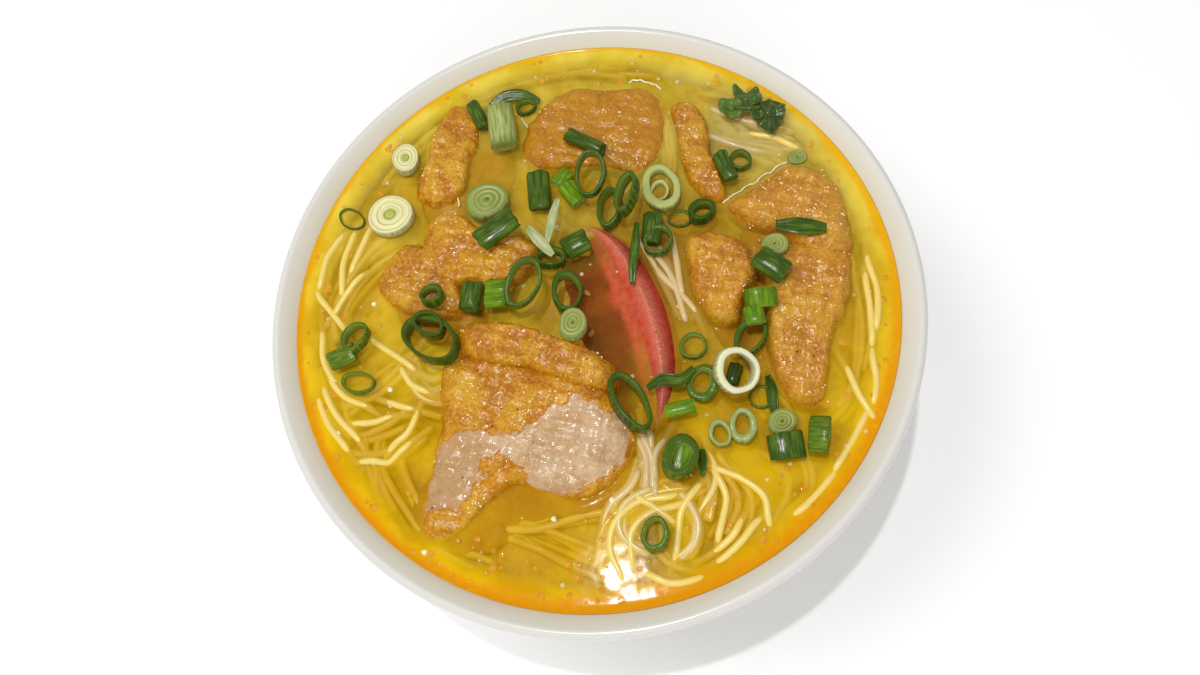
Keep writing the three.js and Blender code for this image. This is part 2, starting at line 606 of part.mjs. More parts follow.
addPiece('bowl', bowl, 'bowl');
addPiece('broth', broth, 'broth');
addPiece('noodles', noodles, 'noodles');
cakes.forEach(([name, solid]) => addPiece(name, solid, 'fishCake'));
addPiece('tomato_wedge', tomato, 'tomato');

const placed = [noodles, tomato, ...cakes.map(([, solid]) => solid)];
const herb = settle(herbSprig(), placed);
placed.push(herb);
addPiece('herb_sprig', herb, 'herb');
for (const [name, [finish, ...pieces]] of Object.entries(SCALLIONS)) {
  const solid = settle(join(pieces), placed);
  placed.push(solid);
  addPiece(name, solid, finish);
}

export default part;
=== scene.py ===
"""Looks for the bowl of fish cake noodle soup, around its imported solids.

Food is placed in millimetres, as on the solids, and MM turns that into the frame's metres.
Colours are written as the screen shows them, from 0 to 255.
"""
import math
import random

import bmesh
import bpy
import numpy as np
from mathutils import Matrix, Vector, noise


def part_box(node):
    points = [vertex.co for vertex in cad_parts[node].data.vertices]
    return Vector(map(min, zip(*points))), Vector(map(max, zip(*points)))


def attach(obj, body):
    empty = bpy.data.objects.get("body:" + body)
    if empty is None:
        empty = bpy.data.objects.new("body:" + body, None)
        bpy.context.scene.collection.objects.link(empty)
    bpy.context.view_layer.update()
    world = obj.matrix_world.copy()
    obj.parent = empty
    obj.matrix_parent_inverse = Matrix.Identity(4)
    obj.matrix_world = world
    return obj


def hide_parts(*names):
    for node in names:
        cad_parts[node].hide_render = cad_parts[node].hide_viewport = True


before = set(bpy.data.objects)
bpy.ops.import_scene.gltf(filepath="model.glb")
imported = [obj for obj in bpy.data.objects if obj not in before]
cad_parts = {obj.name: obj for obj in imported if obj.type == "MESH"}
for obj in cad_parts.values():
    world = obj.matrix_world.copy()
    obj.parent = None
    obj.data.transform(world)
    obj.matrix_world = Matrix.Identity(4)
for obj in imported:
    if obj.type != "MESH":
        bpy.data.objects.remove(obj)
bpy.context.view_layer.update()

MM = 0.001
TURN = 2 * math.pi

# Driving sizes, the same as on the solids
RIM_RADIUS = 99.7
RIM_HEIGHT = 67.2
LIP_RADIUS = 1.9
SOUP_LEVEL = 63.4
SOUP_RADIUS = 92.4
WATERLINE = 63.0
CAKE_BASE = 50.0
NOODLE_RADIUS = 1.15
INNER_WALL = [(0, 10), (33, 12), (59, 22), (76, 37), (86, 52.5), (92.4, 63.4), (96.7, 66.9)]
FOOT_RING = [(0, 4.5), (36.5, 4.5), (38, 0), (42, 0)]
OUTER_WALL = [(43, 5.5), (60, 13.5), (78, 28.5), (90.5, 48.5), (97.3, 61)]

draw = random.Random(11)


# Numbers and meshes

def rgb(red, green, blue):
    """A screen colour as the linear one that shaders take."""
    def linear(share):
        return share / 12.92 if share <= 0.04045 else ((share + 0.055) / 1.055) ** 2.4
    return (linear(red / 255), linear(green / 255), linear(blue / 255), 1)


def smooth_step(low, high, value):
    share = np.clip((np.asarray(value, float) - low) / (high - low), 0, 1)
    return share * share * (3 - 2 * share)


def spline(points, count, closed=False):
    """Evenly spaced points on a centripetal Catmull-Rom curve through the given ones."""
    given = np.array(points, float)
    if closed:
        knots = np.vstack([given[-1], given, given[0], given[1]])
    else:
        knots = np.vstack([2 * given[0] - given[1], given, 2 * given[-1] - given[-2]])
    t = np.linspace(0, 1, 20, endpoint=False)[:, None]
    pieces = []
    for p0, p1, p2, p3 in zip(knots, knots[1:], knots[2:], knots[3:]):
        d0, d1, d2 = (max(np.linalg.norm(b - a), 1e-6) ** 0.5 for a, b in ((p0, p1), (p1, p2), (p2, p3)))
        m1 = d1 * ((p1 - p0) / d0 - (p2 - p0) / (d0 + d1) + (p2 - p1) / d1)
        m2 = d1 * ((p2 - p1) / d1 - (p3 - p1) / (d1 + d2) + (p3 - p2) / d2)
        pieces.append((2 * t**3 - 3 * t**2 + 1) * p1 + (t**3 - 2 * t**2 + t) * m1
                      + (3 * t**2 - 2 * t**3) * p2 + (t**3 - t**2) * m2)
    line = np.vstack(pieces + [given[:1] if closed else given[-1:]])
    travel = np.r_[0, np.cumsum(np.linalg.norm(np.diff(line, axis=0), axis=1))]
    stops = np.linspace(0, travel[-1], count + 1 if closed else count)
    even = np.column_stack([np.interp(stops, travel, line[:, k]) for k in range(line.shape[1])])
    return even[:-1] if closed else even


def grain(points, size, octaves=1, seed=0):
    """Fractal noise, about −1 to 1, at points in millimetres."""
    shift = Vector((seed * 7.13, seed * 3.71, seed * 5.37))
    return np.array([noise.fractal(Vector(p) / size + shift, 1.0, 2.0, octaves) for p in points])


def pebbles(points, size, seed=0):
    """Rounded lumps of about the given size: 1 on top of a lump and 0 between two."""
    shift = Vector((seed * 2.9, seed * 8.3, seed * 1.7))
    return np.array([1 - min(1, noise.voronoi(Vector(p) / size + shift)[0][0] * 1.25) for p in points])


def ring_faces(rows, columns, closed=False):
    """Faces of a stack of closed rings: the last joins the first, or else both ends are closed off."""
    row = np.arange(rows if closed else rows - 1)
    r, c = (a.ravel() for a in np.meshgrid(row, np.arange(columns), indexing="ij"))
    r2, c2 = (r + 1) % rows, (c + 1) % columns
    faces = np.column_stack([r * columns + c, r * columns + c2, r2 * columns + c2, r2 * columns + c]).tolist()
    if not closed:
        last = (rows - 1) * columns
        faces += [list(range(columns)), list(range(last, last + columns))]
    return faces


def angles(count):
    return np.arange(count) * TURN / count


class Shape:
    """Vertices in millimetres, faces and named vertex values, gathered for one object."""

    def __init__(self):
        self.points = []
        self.faces = []
        self.values = {}
        self.count = 0

    def add(self, points, faces, **values):
        points = np.asarray(points, float)
        self.faces += [[self.count + k for k in face] for face in faces]
        for name, value in values.items():
            filled = np.broadcast_to(np.asarray(value, float), (len(points),))
            self.values.setdefault(name, []).append((self.count, filled))
        self.points.append(points)
        self.count += len(points)
        return self

    def all_points(self):
        return np.vstack(self.points)

    def make(self, name, material, slot, replaces=(), lift=0.0):
        """Makes the object, riding on the body, with its vertex values as attributes."""
        mesh = bpy.data.meshes.new(name)
        points = (self.all_points() + [0, 0, lift]) * MM
        mesh.from_pydata(points.tolist(), [], self.faces)
        for key, parts in self.values.items():
            filled = np.zeros(self.count, np.float32)
            for start, value in parts:
                filled[start:start + len(value)] = value
            attribute = mesh.attributes.new(key, "FLOAT", "POINT")
            attribute.data.foreach_set("value", filled)
        mesh.polygons.foreach_set("use_smooth", [True] * len(mesh.polygons))
        mesh.update()
        piece = bpy.data.objects.new(name, mesh)
        bpy.context.scene.collection.objects.link(piece)
        outward(mesh)
        mesh.materials.append(material)
        if replaces:
            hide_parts(*replaces)
        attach(piece, "root")


def outward(mesh):
    """Turns all faces outward."""
    work = bmesh.new()
    work.from_mesh(mesh)
    bmesh.ops.recalc_face_normals(work, faces=work.faces)
    work.to_mesh(mesh)
    work.free()


def tube(path, radius, sides):
    """A round rod with closed ends along a path, thinner at its ends' rims."""
    path = np.asarray(path, float)
    tangent = np.gradient(path, axis=0)
    tangent /= np.linalg.norm(tangent, axis=1)[:, None]
    side = np.column_stack([-tangent[:, 1], tangent[:, 0], np.zeros(len(path))])
    side /= np.maximum(np.linalg.norm(side, axis=1), 1e-9)[:, None]
    lift = np.cross(tangent, side)
    turn = angles(sides)
    radii = np.full(len(path), radius)
    radii[[0, -1]] *= 0.72
    rings = (path[:, None] + radii[:, None, None]
             * (side[:, None] * np.cos(turn)[None, :, None] + lift[:, None] * np.sin(turn)[None, :, None]))
    points = rings.reshape(-1, 3)
    return points, ring_faces(len(path), sides)


# Materials

class Nodes:
    """Short names for the shader nodes that the materials here are made of."""

    def __init__(self, name, **settings):
        self.material = bpy.data.materials.new(name)
        self.material.use_nodes = True
        self.tree = self.material.node_tree
        self.shader = self.tree.nodes["Principled BSDF"]
        for socket, value in settings.items():
            self.shader.inputs[socket.replace("_", " ")].default_value = value

    def set(self, socket, source):
        self.tree.links.new(source, self.shader.inputs[socket])

    def node(self, kind, **settings):
        node = self.tree.nodes.new(kind)
        for key, value in settings.items():
            setattr(node, key, value)
        return node

    def feed(self, socket, value):
        if isinstance(value, bpy.types.NodeSocket):
            self.tree.links.new(value, socket)
        else:
            socket.default_value = value

    def place(self):
        """The point's place in the object, in millimetres."""
        scale = self.node("ShaderNodeVectorMath", operation="SCALE")
        scale.inputs["Scale"].default_value = 1 / MM
        self.tree.links.new(self.node("ShaderNodeTexCoord").outputs["Object"], scale.inputs[0])
        return scale.outputs[0]

    def height(self):
        split = self.node("ShaderNodeSeparateXYZ")
        self.tree.links.new(self.place(), split.inputs[0])
        return split.outputs["Z"]

    def dull_below(self):
        """Roughness that takes the gloss off what lies under the broth."""
        return self.span(self.height(), SOUP_LEVEL - 0.5, SOUP_LEVEL + 0.2, 0.9, 0.0)

    def value(self, name):
        return self.node("ShaderNodeAttribute", attribute_name=name).outputs["Fac"]

    def vector(self, x=0.0, y=0.0, z=0.0):
        node = self.node("ShaderNodeCombineXYZ")
        for socket, value in zip(node.inputs, (x, y, z)):
            self.feed(socket, value)
        return node.outputs[0]

    def noise(self, vector, size, detail=3.0, roughness=0.55, stretch=None):
        """Noise from 0 to 1 with features of about the given size in millimetres."""
        node = self.node("ShaderNodeTexNoise")
        node.inputs["Scale"].default_value = 1 / size
        node.inputs["Detail"].default_value = detail
        node.inputs["Roughness"].default_value = roughness
        if stretch:
            by = self.node("ShaderNodeVectorMath", operation="MULTIPLY")
            self.feed(by.inputs[0], vector)
            by.inputs[1].default_value = stretch
            vector = by.outputs[0]
        self.tree.links.new(vector, node.inputs["Vector"])
        return node.outputs["Fac"]

    def cells(self, vector, size):
        """Distance from the nearest of scattered points, in cell sizes."""
        node = self.node("ShaderNodeTexVoronoi")
        node.inputs["Scale"].default_value = 1 / size
        self.tree.links.new(vector, node.inputs["Vector"])
        return node.outputs["Distance"]

    def span(self, value, low, high, start=0.0, end=1.0):
        node = self.node("ShaderNodeMapRange", interpolation_type="SMOOTHSTEP")
        self.feed(node.inputs["Value"], value)
        for socket, number in (("From Min", low), ("From Max", high), ("To Min", start), ("To Max", end)):
            node.inputs[socket].default_value = number
        return node.outputs["Result"]

    def math(self, operation, a, b):
        node = self.node("ShaderNodeMath", operation=operation)
        self.feed(node.inputs[0], a)
        self.feed(node.inputs[1], b)
        return node.outputs[0]

    def mix(self, share, a, b, blend="MIX"):
        node = self.node("ShaderNodeMix", data_type="RGBA", blend_type=blend)
        self.feed(node.inputs[0], share)
        self.feed(node.inputs[6], a)
        self.feed(node.inputs[7], b)
        return node.outputs[2]

    def vary(self, noise_value, a, b):
        """Two colours in patches, by a noise."""
        return self.mix(self.span(noise_value, 0.35, 0.65), a, b)

    def ramp(self, share, *stops):
        """A blend through (place, colour) stops."""
        node = self.node("ShaderNodeValToRGB")
        elements = node.color_ramp.elements
        while len(elements) < len(stops):
            elements.new(0.5)
        for element, (place, colour) in zip(elements, stops):
            element.position = place
            element.color = colour
        self.feed(node.inputs[0], share)
        return node.outputs[0]

    def bump(self, height, depth, strength=1.0, under=None):
        """Relief of the given depth in millimetres."""
        node = self.node("ShaderNodeBump")
        node.inputs["Strength"].default_value = strength
        node.inputs["Distance"].default_value = depth * MM
        self.feed(node.inputs["Height"], height)
        if under is not None:
            self.tree.links.new(under, node.inputs["Normal"])
        return node.outputs["Normal"]


def glaze():
    """White glaze, with painted warm light bounced from the broth and painted shade on the inner wall, and a
    few specks of oil above the broth.
    """
    n = Nodes("glaze", Roughness=0.2, Coat_Weight=0.3, Coat_Roughness=0.06)
    place = n.place()
    inside = n.value("inside")
    # The inner wall's warmer tone is painted light and shade: warm light bounced off the broth, and shade.
    warm = n.mix(n.noise(place, 30), rgb(218, 210, 186), rgb(208, 198, 168))
    white = n.mix(n.noise(place, 45), rgb(214, 211, 204), rgb(208, 206, 201))
    colour = n.mix(inside, white, warm)
    speck = n.span(n.cells(place, 2.6), 0.05, 0.13, 1.0, 0.0)
    patch = n.span(n.noise(place, 11, 1.0), 0.5, 0.62)
    near = n.span(n.height(), SOUP_LEVEL + 0.2, RIM_HEIGHT - 1.0, 0.8, 0.0)
    share = n.math("MULTIPLY", n.math("MULTIPLY", speck, patch), n.math("MULTIPLY", near, inside))
    n.set("Base Color", n.mix(share, colour, rgb(214, 158, 40)))
    n.set("Normal", n.bump(n.noise(place, 9, 2.0), 0.04))
    return n.material


def broth_look():
    """Cloudy yellow broth with a darker orange ring of oil at the wall."""
    n = Nodes("broth", Roughness=0.08, IOR=1.34)
    n.shader.inputs["Specular IOR Level"].default_value = 0.13
    place = n.place()
    cloud = n.noise(place, 15, 4.0)
    fine = n.noise(place, 2.2, 4.0, 0.65)
    pale = n.vary(cloud, rgb(206, 174, 36), rgb(226, 200, 72))
    deep = n.vary(cloud, rgb(208, 160, 2), rgb(228, 186, 12))
    base = n.mix(n.value("front"), pale, deep)
    base = n.mix(n.math("MULTIPLY", n.value("murk"), 0.9), base, rgb(162, 118, 32))
    base = n.mix(n.value("milk"), base, rgb(196, 186, 112))
    ring_share = n.math("MULTIPLY", n.value("oil"), n.span(fine, 0.25, 0.6, 0.6, 1.0))
    ring_colour = n.mix(n.value("front"), rgb(226, 170, 12), rgb(218, 142, 8))
    colour = n.mix(ring_share, base, ring_colour)
    drops = n.span(n.cells(place, 3.4), 0.10, 0.14, 1.0, 0.0)
    drops = n.math("MULTIPLY", drops, n.span(n.noise(place, 14, 1.0), 0.5, 0.6))
    n.set("Base Color", n.mix(n.math("MULTIPLY", drops, 0.3), colour, rgb(218, 152, 8)))
    veil = n.span(cloud, 0.35, 0.7, 0.44, 0.62)
    veil = n.math("MULTIPLY", veil, n.math("SUBTRACT", 1.0, n.math("MULTIPLY", n.value("clear"), 0.75)))
    n.set("Alpha", n.math("MAXIMUM", veil, n.math("MULTIPLY", n.value("edge"), 0.94)))
    swell = n.bump(n.noise(place, 8, 2.0, 0.5), 0.08)
    n.set("Normal", n.bump(n.span(n.cells(place, 2.4), 0.05, 0.16, 1.0, 0.0), 0.012, 0.5, swell))
    return n.material


def bed_look():
    """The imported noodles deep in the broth."""
    n = Nodes("noodle_bed", Roughness=0.5)
    place = n.place()
    strands = n.noise(place, 2.4, 3.0, 0.5, stretch=(1.0, 0.45, 1.0))
    cloud = n.span(n.noise(place, 18, 3.0), 0.35, 0.65)
    warm = n.vary(strands, rgb(208, 158, 4), rgb(224, 180, 14))
    cool = n.vary(strands, rgb(200, 164, 24), rgb(218, 188, 54))
    n.set("Base Color", n.mix(n.math("MULTIPLY", cloud, n.value("back")), warm, cool))
    n.set("Normal", n.bump(strands, 0.5))
    return n.material


def noodle_look():
    """Cream rice noodles that take the broth's yellow with depth."""
    n = Nodes("noodles", Roughness=0.25, IOR=1.4, Coat_Weight=0.1, Coat_Roughness=0.1)
    place = n.place()
    tone = n.mix(n.noise(place, 7, 2.0), rgb(224, 194, 88), rgb(232, 208, 124))
    shallow = n.mix(n.value("pale"), tone, rgb(204, 178, 128))
    deep = n.span(n.height(), SOUP_LEVEL - 3.6, SOUP_LEVEL + 0.7, 1.0, 0.0)
    n.set("Base Color", n.mix(deep, shallow, rgb(214, 168, 14)))
    n.set("Normal", n.bump(n.noise(place, 1.6, 2.0), 0.05))
    return n.material


def crust_look():
    """Fried crust: golden lumps with painted light on their tops and painted shade in the browner hollows,
    and the pinkish flesh of a cut face.
    """
    n = Nodes("fish_cake", IOR=1.5)
    n.shader.inputs["Specular IOR Level"].default_value = 0.6
    place = n.place()
    patch = n.noise(place, 12, 2.0)
    blot = n.noise(place, 3.4, 4.0, 0.6)
    fine = n.noise(place, 1.0, 3.0, 0.7)
    gold = n.vary(patch, rgb(187, 121, 2), rgb(193, 138, 16))
    # By the lump height, with a blot noise: painted shade, browner, in the hollows and painted light, paler
    # gold, on the lump tops; the noise adds tone at random.
    height = n.math("ADD", n.value("lump"), n.math("MULTIPLY", n.math("SUBTRACT", blot, 0.5), 0.9))
    crust = n.mix(n.span(height, 0.05, 0.5), rgb(170, 102, 4), gold)
    crust = n.mix(n.span(height, 0.5, 1.0, 0.0, 0.8), crust, rgb(206, 158, 40))
    crust = n.mix(n.span(fine, 0.46, 0.66, 0.0, 0.6), crust, rgb(212, 160, 40))
    crust = n.mix(n.span(fine, 0.38, 0.5, 0.5, 0.0), crust, rgb(156, 92, 6))
    crust = n.mix(n.math("MULTIPLY", n.value("pink"), 0.4), crust, rgb(194, 142, 62))
    edge = n.math("ADD", n.value("cut"), n.math("MULTIPLY", n.math("SUBTRACT", blot, 0.5), 1.3))
    flesh = n.vary(n.noise(place, 5.0, 3.0), rgb(180, 140, 94), rgb(194, 162, 124))
    flesh = n.mix(n.span(fine, 0.45, 0.7, 0.0, 0.5), flesh, rgb(220, 198, 170))
    flesh = n.mix(n.math("MULTIPLY", n.value("dull"), 0.6), flesh, rgb(170, 126, 76))
    colour = n.mix(n.span(edge, 0.42, 0.7), crust, flesh)
    rim = n.math("MULTIPLY", n.span(edge, 0.05, 0.45), n.span(edge, 0.55, 0.95, 1.0, 0.0))
    colour = n.mix(n.math("MULTIPLY", rim, 0.7), colour, rgb(178, 108, 6))
    pepper = n.span(n.cells(place, 5.2), 0.05, 0.08, 0.9, 0.0)
    colour = n.mix(n.math("MULTIPLY", pepper, n.span(patch, 0.42, 0.5)), colour, rgb(52, 30, 10))
    wet = n.span(n.height(), SOUP_LEVEL - 1.2, SOUP_LEVEL + 0.9, 0.85, 0.0)
    wet = n.math("MAXIMUM", wet, n.value("soaked"))
    n.set("Base Color", n.mix(wet, colour, rgb(168, 110, 4)))
    shine = n.span(n.noise(place, 2.6, 2.0), 0.35, 0.65, 0.12, 0.28)
    n.set("Roughness", n.math("MAXIMUM", shine, n.dull_below()))
    relief = n.math("MULTIPLY", n.noise(place, 1.0, 2.0, 0.5), n.span(n.value("cut"), 0, 1, 1.0, 0.4))
    grains = n.bump(relief, 0.27)
    n.set("Normal", n.bump(n.noise(place, 0.6, 2.0, 0.5), 0.08, 1.0, grains))
    return n.material


def tomato_look():
    """Red skin and firm flesh with a painted highlight along the ridge, and darker wet hollows between the
    walls.
    """
    n = Nodes("tomato", Roughness=0.2, IOR=1.42)
    place = n.place()
    streak = n.noise(place, 2.2, 3.0)
    fine = n.noise(place, 0.5, 2.0)
    skin = n.mix(n.span(streak, 0.3, 0.7), rgb(150, 26, 18), rgb(178, 48, 34))
    firm = n.mix(n.span(streak, 0.3, 0.7), rgb(190, 58, 44), rgb(202, 88, 66))
    flesh = n.mix(n.span(streak, 0.3, 0.7), rgb(134, 46, 14), rgb(150, 60, 22))
    wet = n.vary(n.noise(place, 4.5, 3.0), rgb(112, 36, 10), rgb(130, 50, 16))
    colour = n.mix(n.span(n.value("rim"), 0.48, 0.62), flesh, firm)
    colour = n.mix(n.value("hollow"), colour, wet)
    colour = n.mix(n.value("skin"), colour, skin)
    # Painted highlight: a pale pink sheen along the ridge, where the lamp glints on the wet skin.
    ridge = n.math("MULTIPLY", n.value("ridge"), n.span(fine, 0.3, 0.7, 0.35, 1.0))
    n.set("Base Color", n.mix(n.math("MULTIPLY", ridge, 0.75), colour, rgb(214, 136, 106)))
    shine = n.span(fine, 0.35, 0.65, 0.06, 0.34)
    n.set("Roughness", n.math("MAXIMUM", shine, n.dull_below()))
    n.set("Normal", n.bump(n.noise(place, 0.7, 3.0), 0.12))
    return n.material


def herb_look():
    """Dark green leaf with paler veins."""
    n = Nodes("herb", Roughness=0.22)
    place = n.place()
    tone = n.mix(n.noise(place, 4, 3.0), rgb(26, 44, 6), rgb(66, 88, 20))
    tone = n.mix(n.value("light"), tone, rgb(86, 116, 34))
    vein = n.span(n.value("vein"), 0.5, 1.0)
    n.set("Base Color", n.mix(n.math("MULTIPLY", vein, 0.6), tone, rgb(96, 116, 40)))
    n.set("Normal", n.bump(n.noise(place, 1.4, 3.0), 0.25))
    return n.material


LEAF_TONES = {
    "dark": {"skin": [(44, 68, 10), (84, 108, 30)], "edge": (62, 86, 16), "inside": (104, 124, 44)},
    "mid": {"skin": [(64, 88, 10), (106, 128, 34)], "edge": (74, 98, 18), "inside": (126, 142, 54)},
    "bright": {"skin": [(76, 112, 4), (118, 150, 22)], "edge": (130, 158, 56), "inside": (134, 160, 56)},
    "pale": {"skin": [(122, 136, 60), (170, 176, 112)], "edge": (160, 168, 100), "inside": (160, 168, 100)},
    "white": {"skin": [(160, 168, 104), (206, 206, 166)], "edge": (200, 202, 168), "inside": (186, 188, 148)},
}


def leaf_look(finish):
    """Hollow leaf: ribbed skin, cut edges and a paler inner side."""
    tones = LEAF_TONES[finish]
    n = Nodes("scallion_" + finish, Roughness=0.22, IOR=1.4)
    n.shader.inputs["Specular IOR Level"].default_value = 0.4
    along = n.vector(n.value("around"), n.math("MULTIPLY", n.value("along"), 0.12), n.value("tint"))
    rib = n.noise(along, 0.75, 2.0, 0.6)
    place = n.place()
    dark, light = (rgb(*c) for c in tones["skin"])
    skin = n.mix(n.span(rib, 0.35, 0.68), dark, light)
    skin = n.mix(n.span(n.noise(place, 5, 2.0), 0.4, 0.65, 0.0, 0.5), skin, dark)
    inside = n.mix(n.span(rib, 0.3, 0.7, 0.0, 0.45), rgb(*tones["inside"]), light)
    side = n.value("side")
    colour = n.mix(n.span(side, 1.2, 1.8), skin, inside)
    cut = n.math("MULTIPLY", n.span(side, 0.3, 0.8), n.span(side, 1.2, 1.7, 1.0, 0.0))
    colour = n.mix(cut, colour, rgb(*tones["edge"]))
    bright = n.mix(n.span(n.value("tint"), 0.0, 1.0), (0.72, 0.78, 0.7, 1), (1.22, 1.18, 1.2, 1))
    n.set("Base Color", n.mix(1.0, colour, bright, "MULTIPLY"))
    n.set("Normal", n.bump(rib, 0.14, 0.8))
    return n.material


SLICE_TONES = {
    "white": [(0.0, (170, 172, 70)), (0.16, (180, 182, 84)), (0.24, (130, 142, 44)), (0.3, (208, 200, 144)),
              (0.52, (222, 216, 164)), (0.57, (186, 176, 106)), (0.62, (222, 216, 164)),
              (0.8, (220, 214, 160)),
              (0.84, (190, 180, 112)), (0.9, (222, 218, 172)), (1.0, (204, 198, 140))],
    "pale": [(0.0, (84, 106, 22)), (0.1, (106, 124, 36)), (0.2, (152, 158, 84)), (0.38, (120, 134, 54)),
             (0.46, (160, 164, 98)), (0.62, (118, 132, 52)), (0.7, (162, 166, 100)), (0.88, (130, 142, 62)),
             (1.0, (108, 126, 46))],
}


def slice_look(finish):
    """A cut slice with the stalk's layers as rings, and a ribbed edge."""
    n = Nodes("slice_" + finish, Roughness=0.24, IOR=1.4)
    place = n.place()
    wander = n.math("MULTIPLY", n.math("SUBTRACT", n.noise(place, 2.4, 2.0), 0.5), 0.12)
    share = n.math("ADD", n.value("share"), wander)
    face = n.ramp(share, *[(at, rgb(*c)) for at, c in SLICE_TONES[finish]])
    along = n.vector(n.value("around"), n.math("MULTIPLY", n.value("along"), 0.1), 0.0)
    rib = n.noise(along, 0.8, 2.0, 0.6)
    dark, light = (rgb(*c) for c in LEAF_TONES[finish]["skin"])
    edge = n.vary(rib, dark, light)
    n.set("Base Color", n.mix(n.value("side"), edge, face))
    fibre = n.bump(n.noise(place, 0.45, 3.0), 0.1)
    n.set("Normal", n.bump(rib, 0.1, 0.6, fibre))
    return n.material


def plain_look(name, low, high, size, roughness=0.3, **settings):
    """A small thing's colour, mottled between two tones."""
    n = Nodes(name, Roughness=roughness, **settings)
    place = n.place()
    n.set("Base Color", n.vary(n.noise(place, size), rgb(*low), rgb(*high)))
    n.set("Normal", n.bump(n.noise(place, size / 2), size * 0.05))
    return n.material


# Bowl

def lathe(profile, sides):
    turn = angles(sides)
    profile = np.asarray(profile, float)
    points = np.column_stack([
        np.outer(profile[:, 0], np.cos(turn)).ravel(),
        np.outer(profile[:, 0], np.sin(turn)).ravel(),
        np.repeat(profile[:, 1], sides),
    ])
    return points, ring_faces(len(profile), sides)


def make_bowl():
    sides = 192
    lip_turn = np.radians(np.linspace(-20, 120, 14))
    lip = np.column_stack([RIM_RADIUS - LIP_RADIUS + LIP_RADIUS * np.cos(lip_turn),
                           RIM_HEIGHT - LIP_RADIUS + LIP_RADIUS * np.sin(lip_turn)])
    foot = spline(FOOT_RING[1:], 14)
    foot[:, 1] = np.maximum(foot[:, 1], 0)
    outside = spline([(42, 0.4)] + OUTER_WALL + [tuple(lip[0])], 34)[:-1]
    wall = spline([tuple(lip[-1])] + INNER_WALL[-2::-1], 44)[1:-1]
    profile = np.vstack([[(0.4, FOOT_RING[0][1])], foot, outside, lip, wall, [(0.4, INNER_WALL[0][1])]])
    points, faces = lathe(profile, sides)
    row = np.repeat(np.arange(len(profile)), sides)
    inner_edge = 1 + len(foot) + len(outside) + 11
    # The inner wall, past the lip's top: it takes the glaze's painted warm bounce light and shade, and the
    # oil specks.
    inside = smooth_step(inner_edge, inner_edge + 6, row)
    Shape().add(points, faces, inside=inside).make("bowl_glazed", glaze(), "bowl", ["bowl"])


def wall_radius(height):
    radii, heights = zip(*INNER_WALL)
    return np.interp(height, heights, radii)


# Fish cakes

CAKE_SIDES = 192
CAKE_STEPS = 48
# Pale specks scattered on the crust: painted glints, the lamp's sparkle on the wet fried crust.
GLINT_SPECKS = 1500

FISH_CAKES = {
    "fish_cake_left_back": [
        dict(outline=[(-47, 73), (-40, 68), (-38, 57), (-41, 48), (-42, 40), (-47, 34), (-56, 35.5),
                      (-58, 43), (-55, 50), (-54, 61)],
             top=66.2, slope=(-0.03, -0.06), crag=0.6, base=57),
    ],
    "fish_cake_left": [
        dict(outline=[(-52, 29), (-44, 31), (-37, 26), (-29, 22), (-19, 21), (-16, 14), (-22, 6), (-31, 4),
                      (-42, 5), (-51, 9), (-54, 19)],
             top=68.6, slope=(0.02, 0.03), crag=0.9),
        dict(outline=[(-60, 20), (-53, 20), (-46, 11), (-40, 4), (-37, -3), (-43, -6), (-54, -4), (-64, 1),
                      (-68, 6), (-65, 14)],
             top=67, slope=(0.05, 0.02), crag=0.8),
    ],
    "fish_cake_back": [
        dict(outline=[(-24, 54), (-21, 65), (-15, 73), (-5, 77), (5, 76), (15, 76), (22, 71), (23, 60),
                      (21, 49), (13, 44), (2, 47), (-9, 46), (-19, 47)],
             top=65.8, slope=(-0.03, -0.01), crag=0.6, soaked=0.7),
    ],
    "fish_cake_back_strip": [
        dict(outline=[(25.2, 68.5), (30.5, 70), (35.2, 65), (37.5, 57), (37.5, 49), (40.8, 41), (42, 33.5),
                      (40, 31.5), (36, 33.2), (30.5, 39), (28, 50), (26.3, 59)],
             top=67.2, slope=(0.02, -0.05), crag=0.7, soaked=0.3),
    ],
    "fish_cake_right": [
        dict(outline=[(42, 30.5), (49, 36), (56, 41), (62, 44.5), (69, 43), (74, 39.5), (77.5, 33),
                      (79.5, 24), (79, 13), (71, 10), (64, 14), (58, 19), (49, 23)],
             top=68.6, slope=(0.02, -0.05), crag=0.9, pink=0.6),
        dict(outline=[(54, 14), (66, 18), (78, 16), (79, 6), (77, -3), (72, -13), (70, -25), (67, -34),
                      (61, -34), (56, -28), (53, -18), (52.5, -9), (53, 2)],
             top=68.4, slope=(-0.02, 0.04), crag=0.9, pink=0.5),
    ],
    "fish_cake_right_inner": [
        dict(outline=[(29, 18), (34, 22), (41, 21), (47, 17), (50, 11), (50.5, 4), (46.5, -3), (44, -9),
                      (38, -9), (33, -2), (30, 8)],
             top=69, slope=(0.03, 0.04), crag=0.9, pink=0.3),
    ],
    "fish_cake_front": [
        dict(outline=[(-40, -9), (-30, -7), (-19, -9), (-8, -13), (1, -17), (8, -22), (9, -29), (1, -30),
                      (-8, -27), (-20, -23), (-34, -21), (-41, -16)],
             top=71, slope=(-0.02, 0.04), crag=0.8),
        dict(outline=[(-43, -17), (-33, -16), (-20, -19), (-8, -23), (4, -27), (11, -33), (14, -44),
                      (9, -55), (-2, -61), (-11, -59), (-20, -57), (-28, -62), (-36, -70), (-44, -74),
                      (-48, -70), (-47, -60), (-45, -48), (-44, -36), (-45, -26)],
             top=68, slope=(0.04, 0.1), crag=0.9, cut=True),
    ],
}

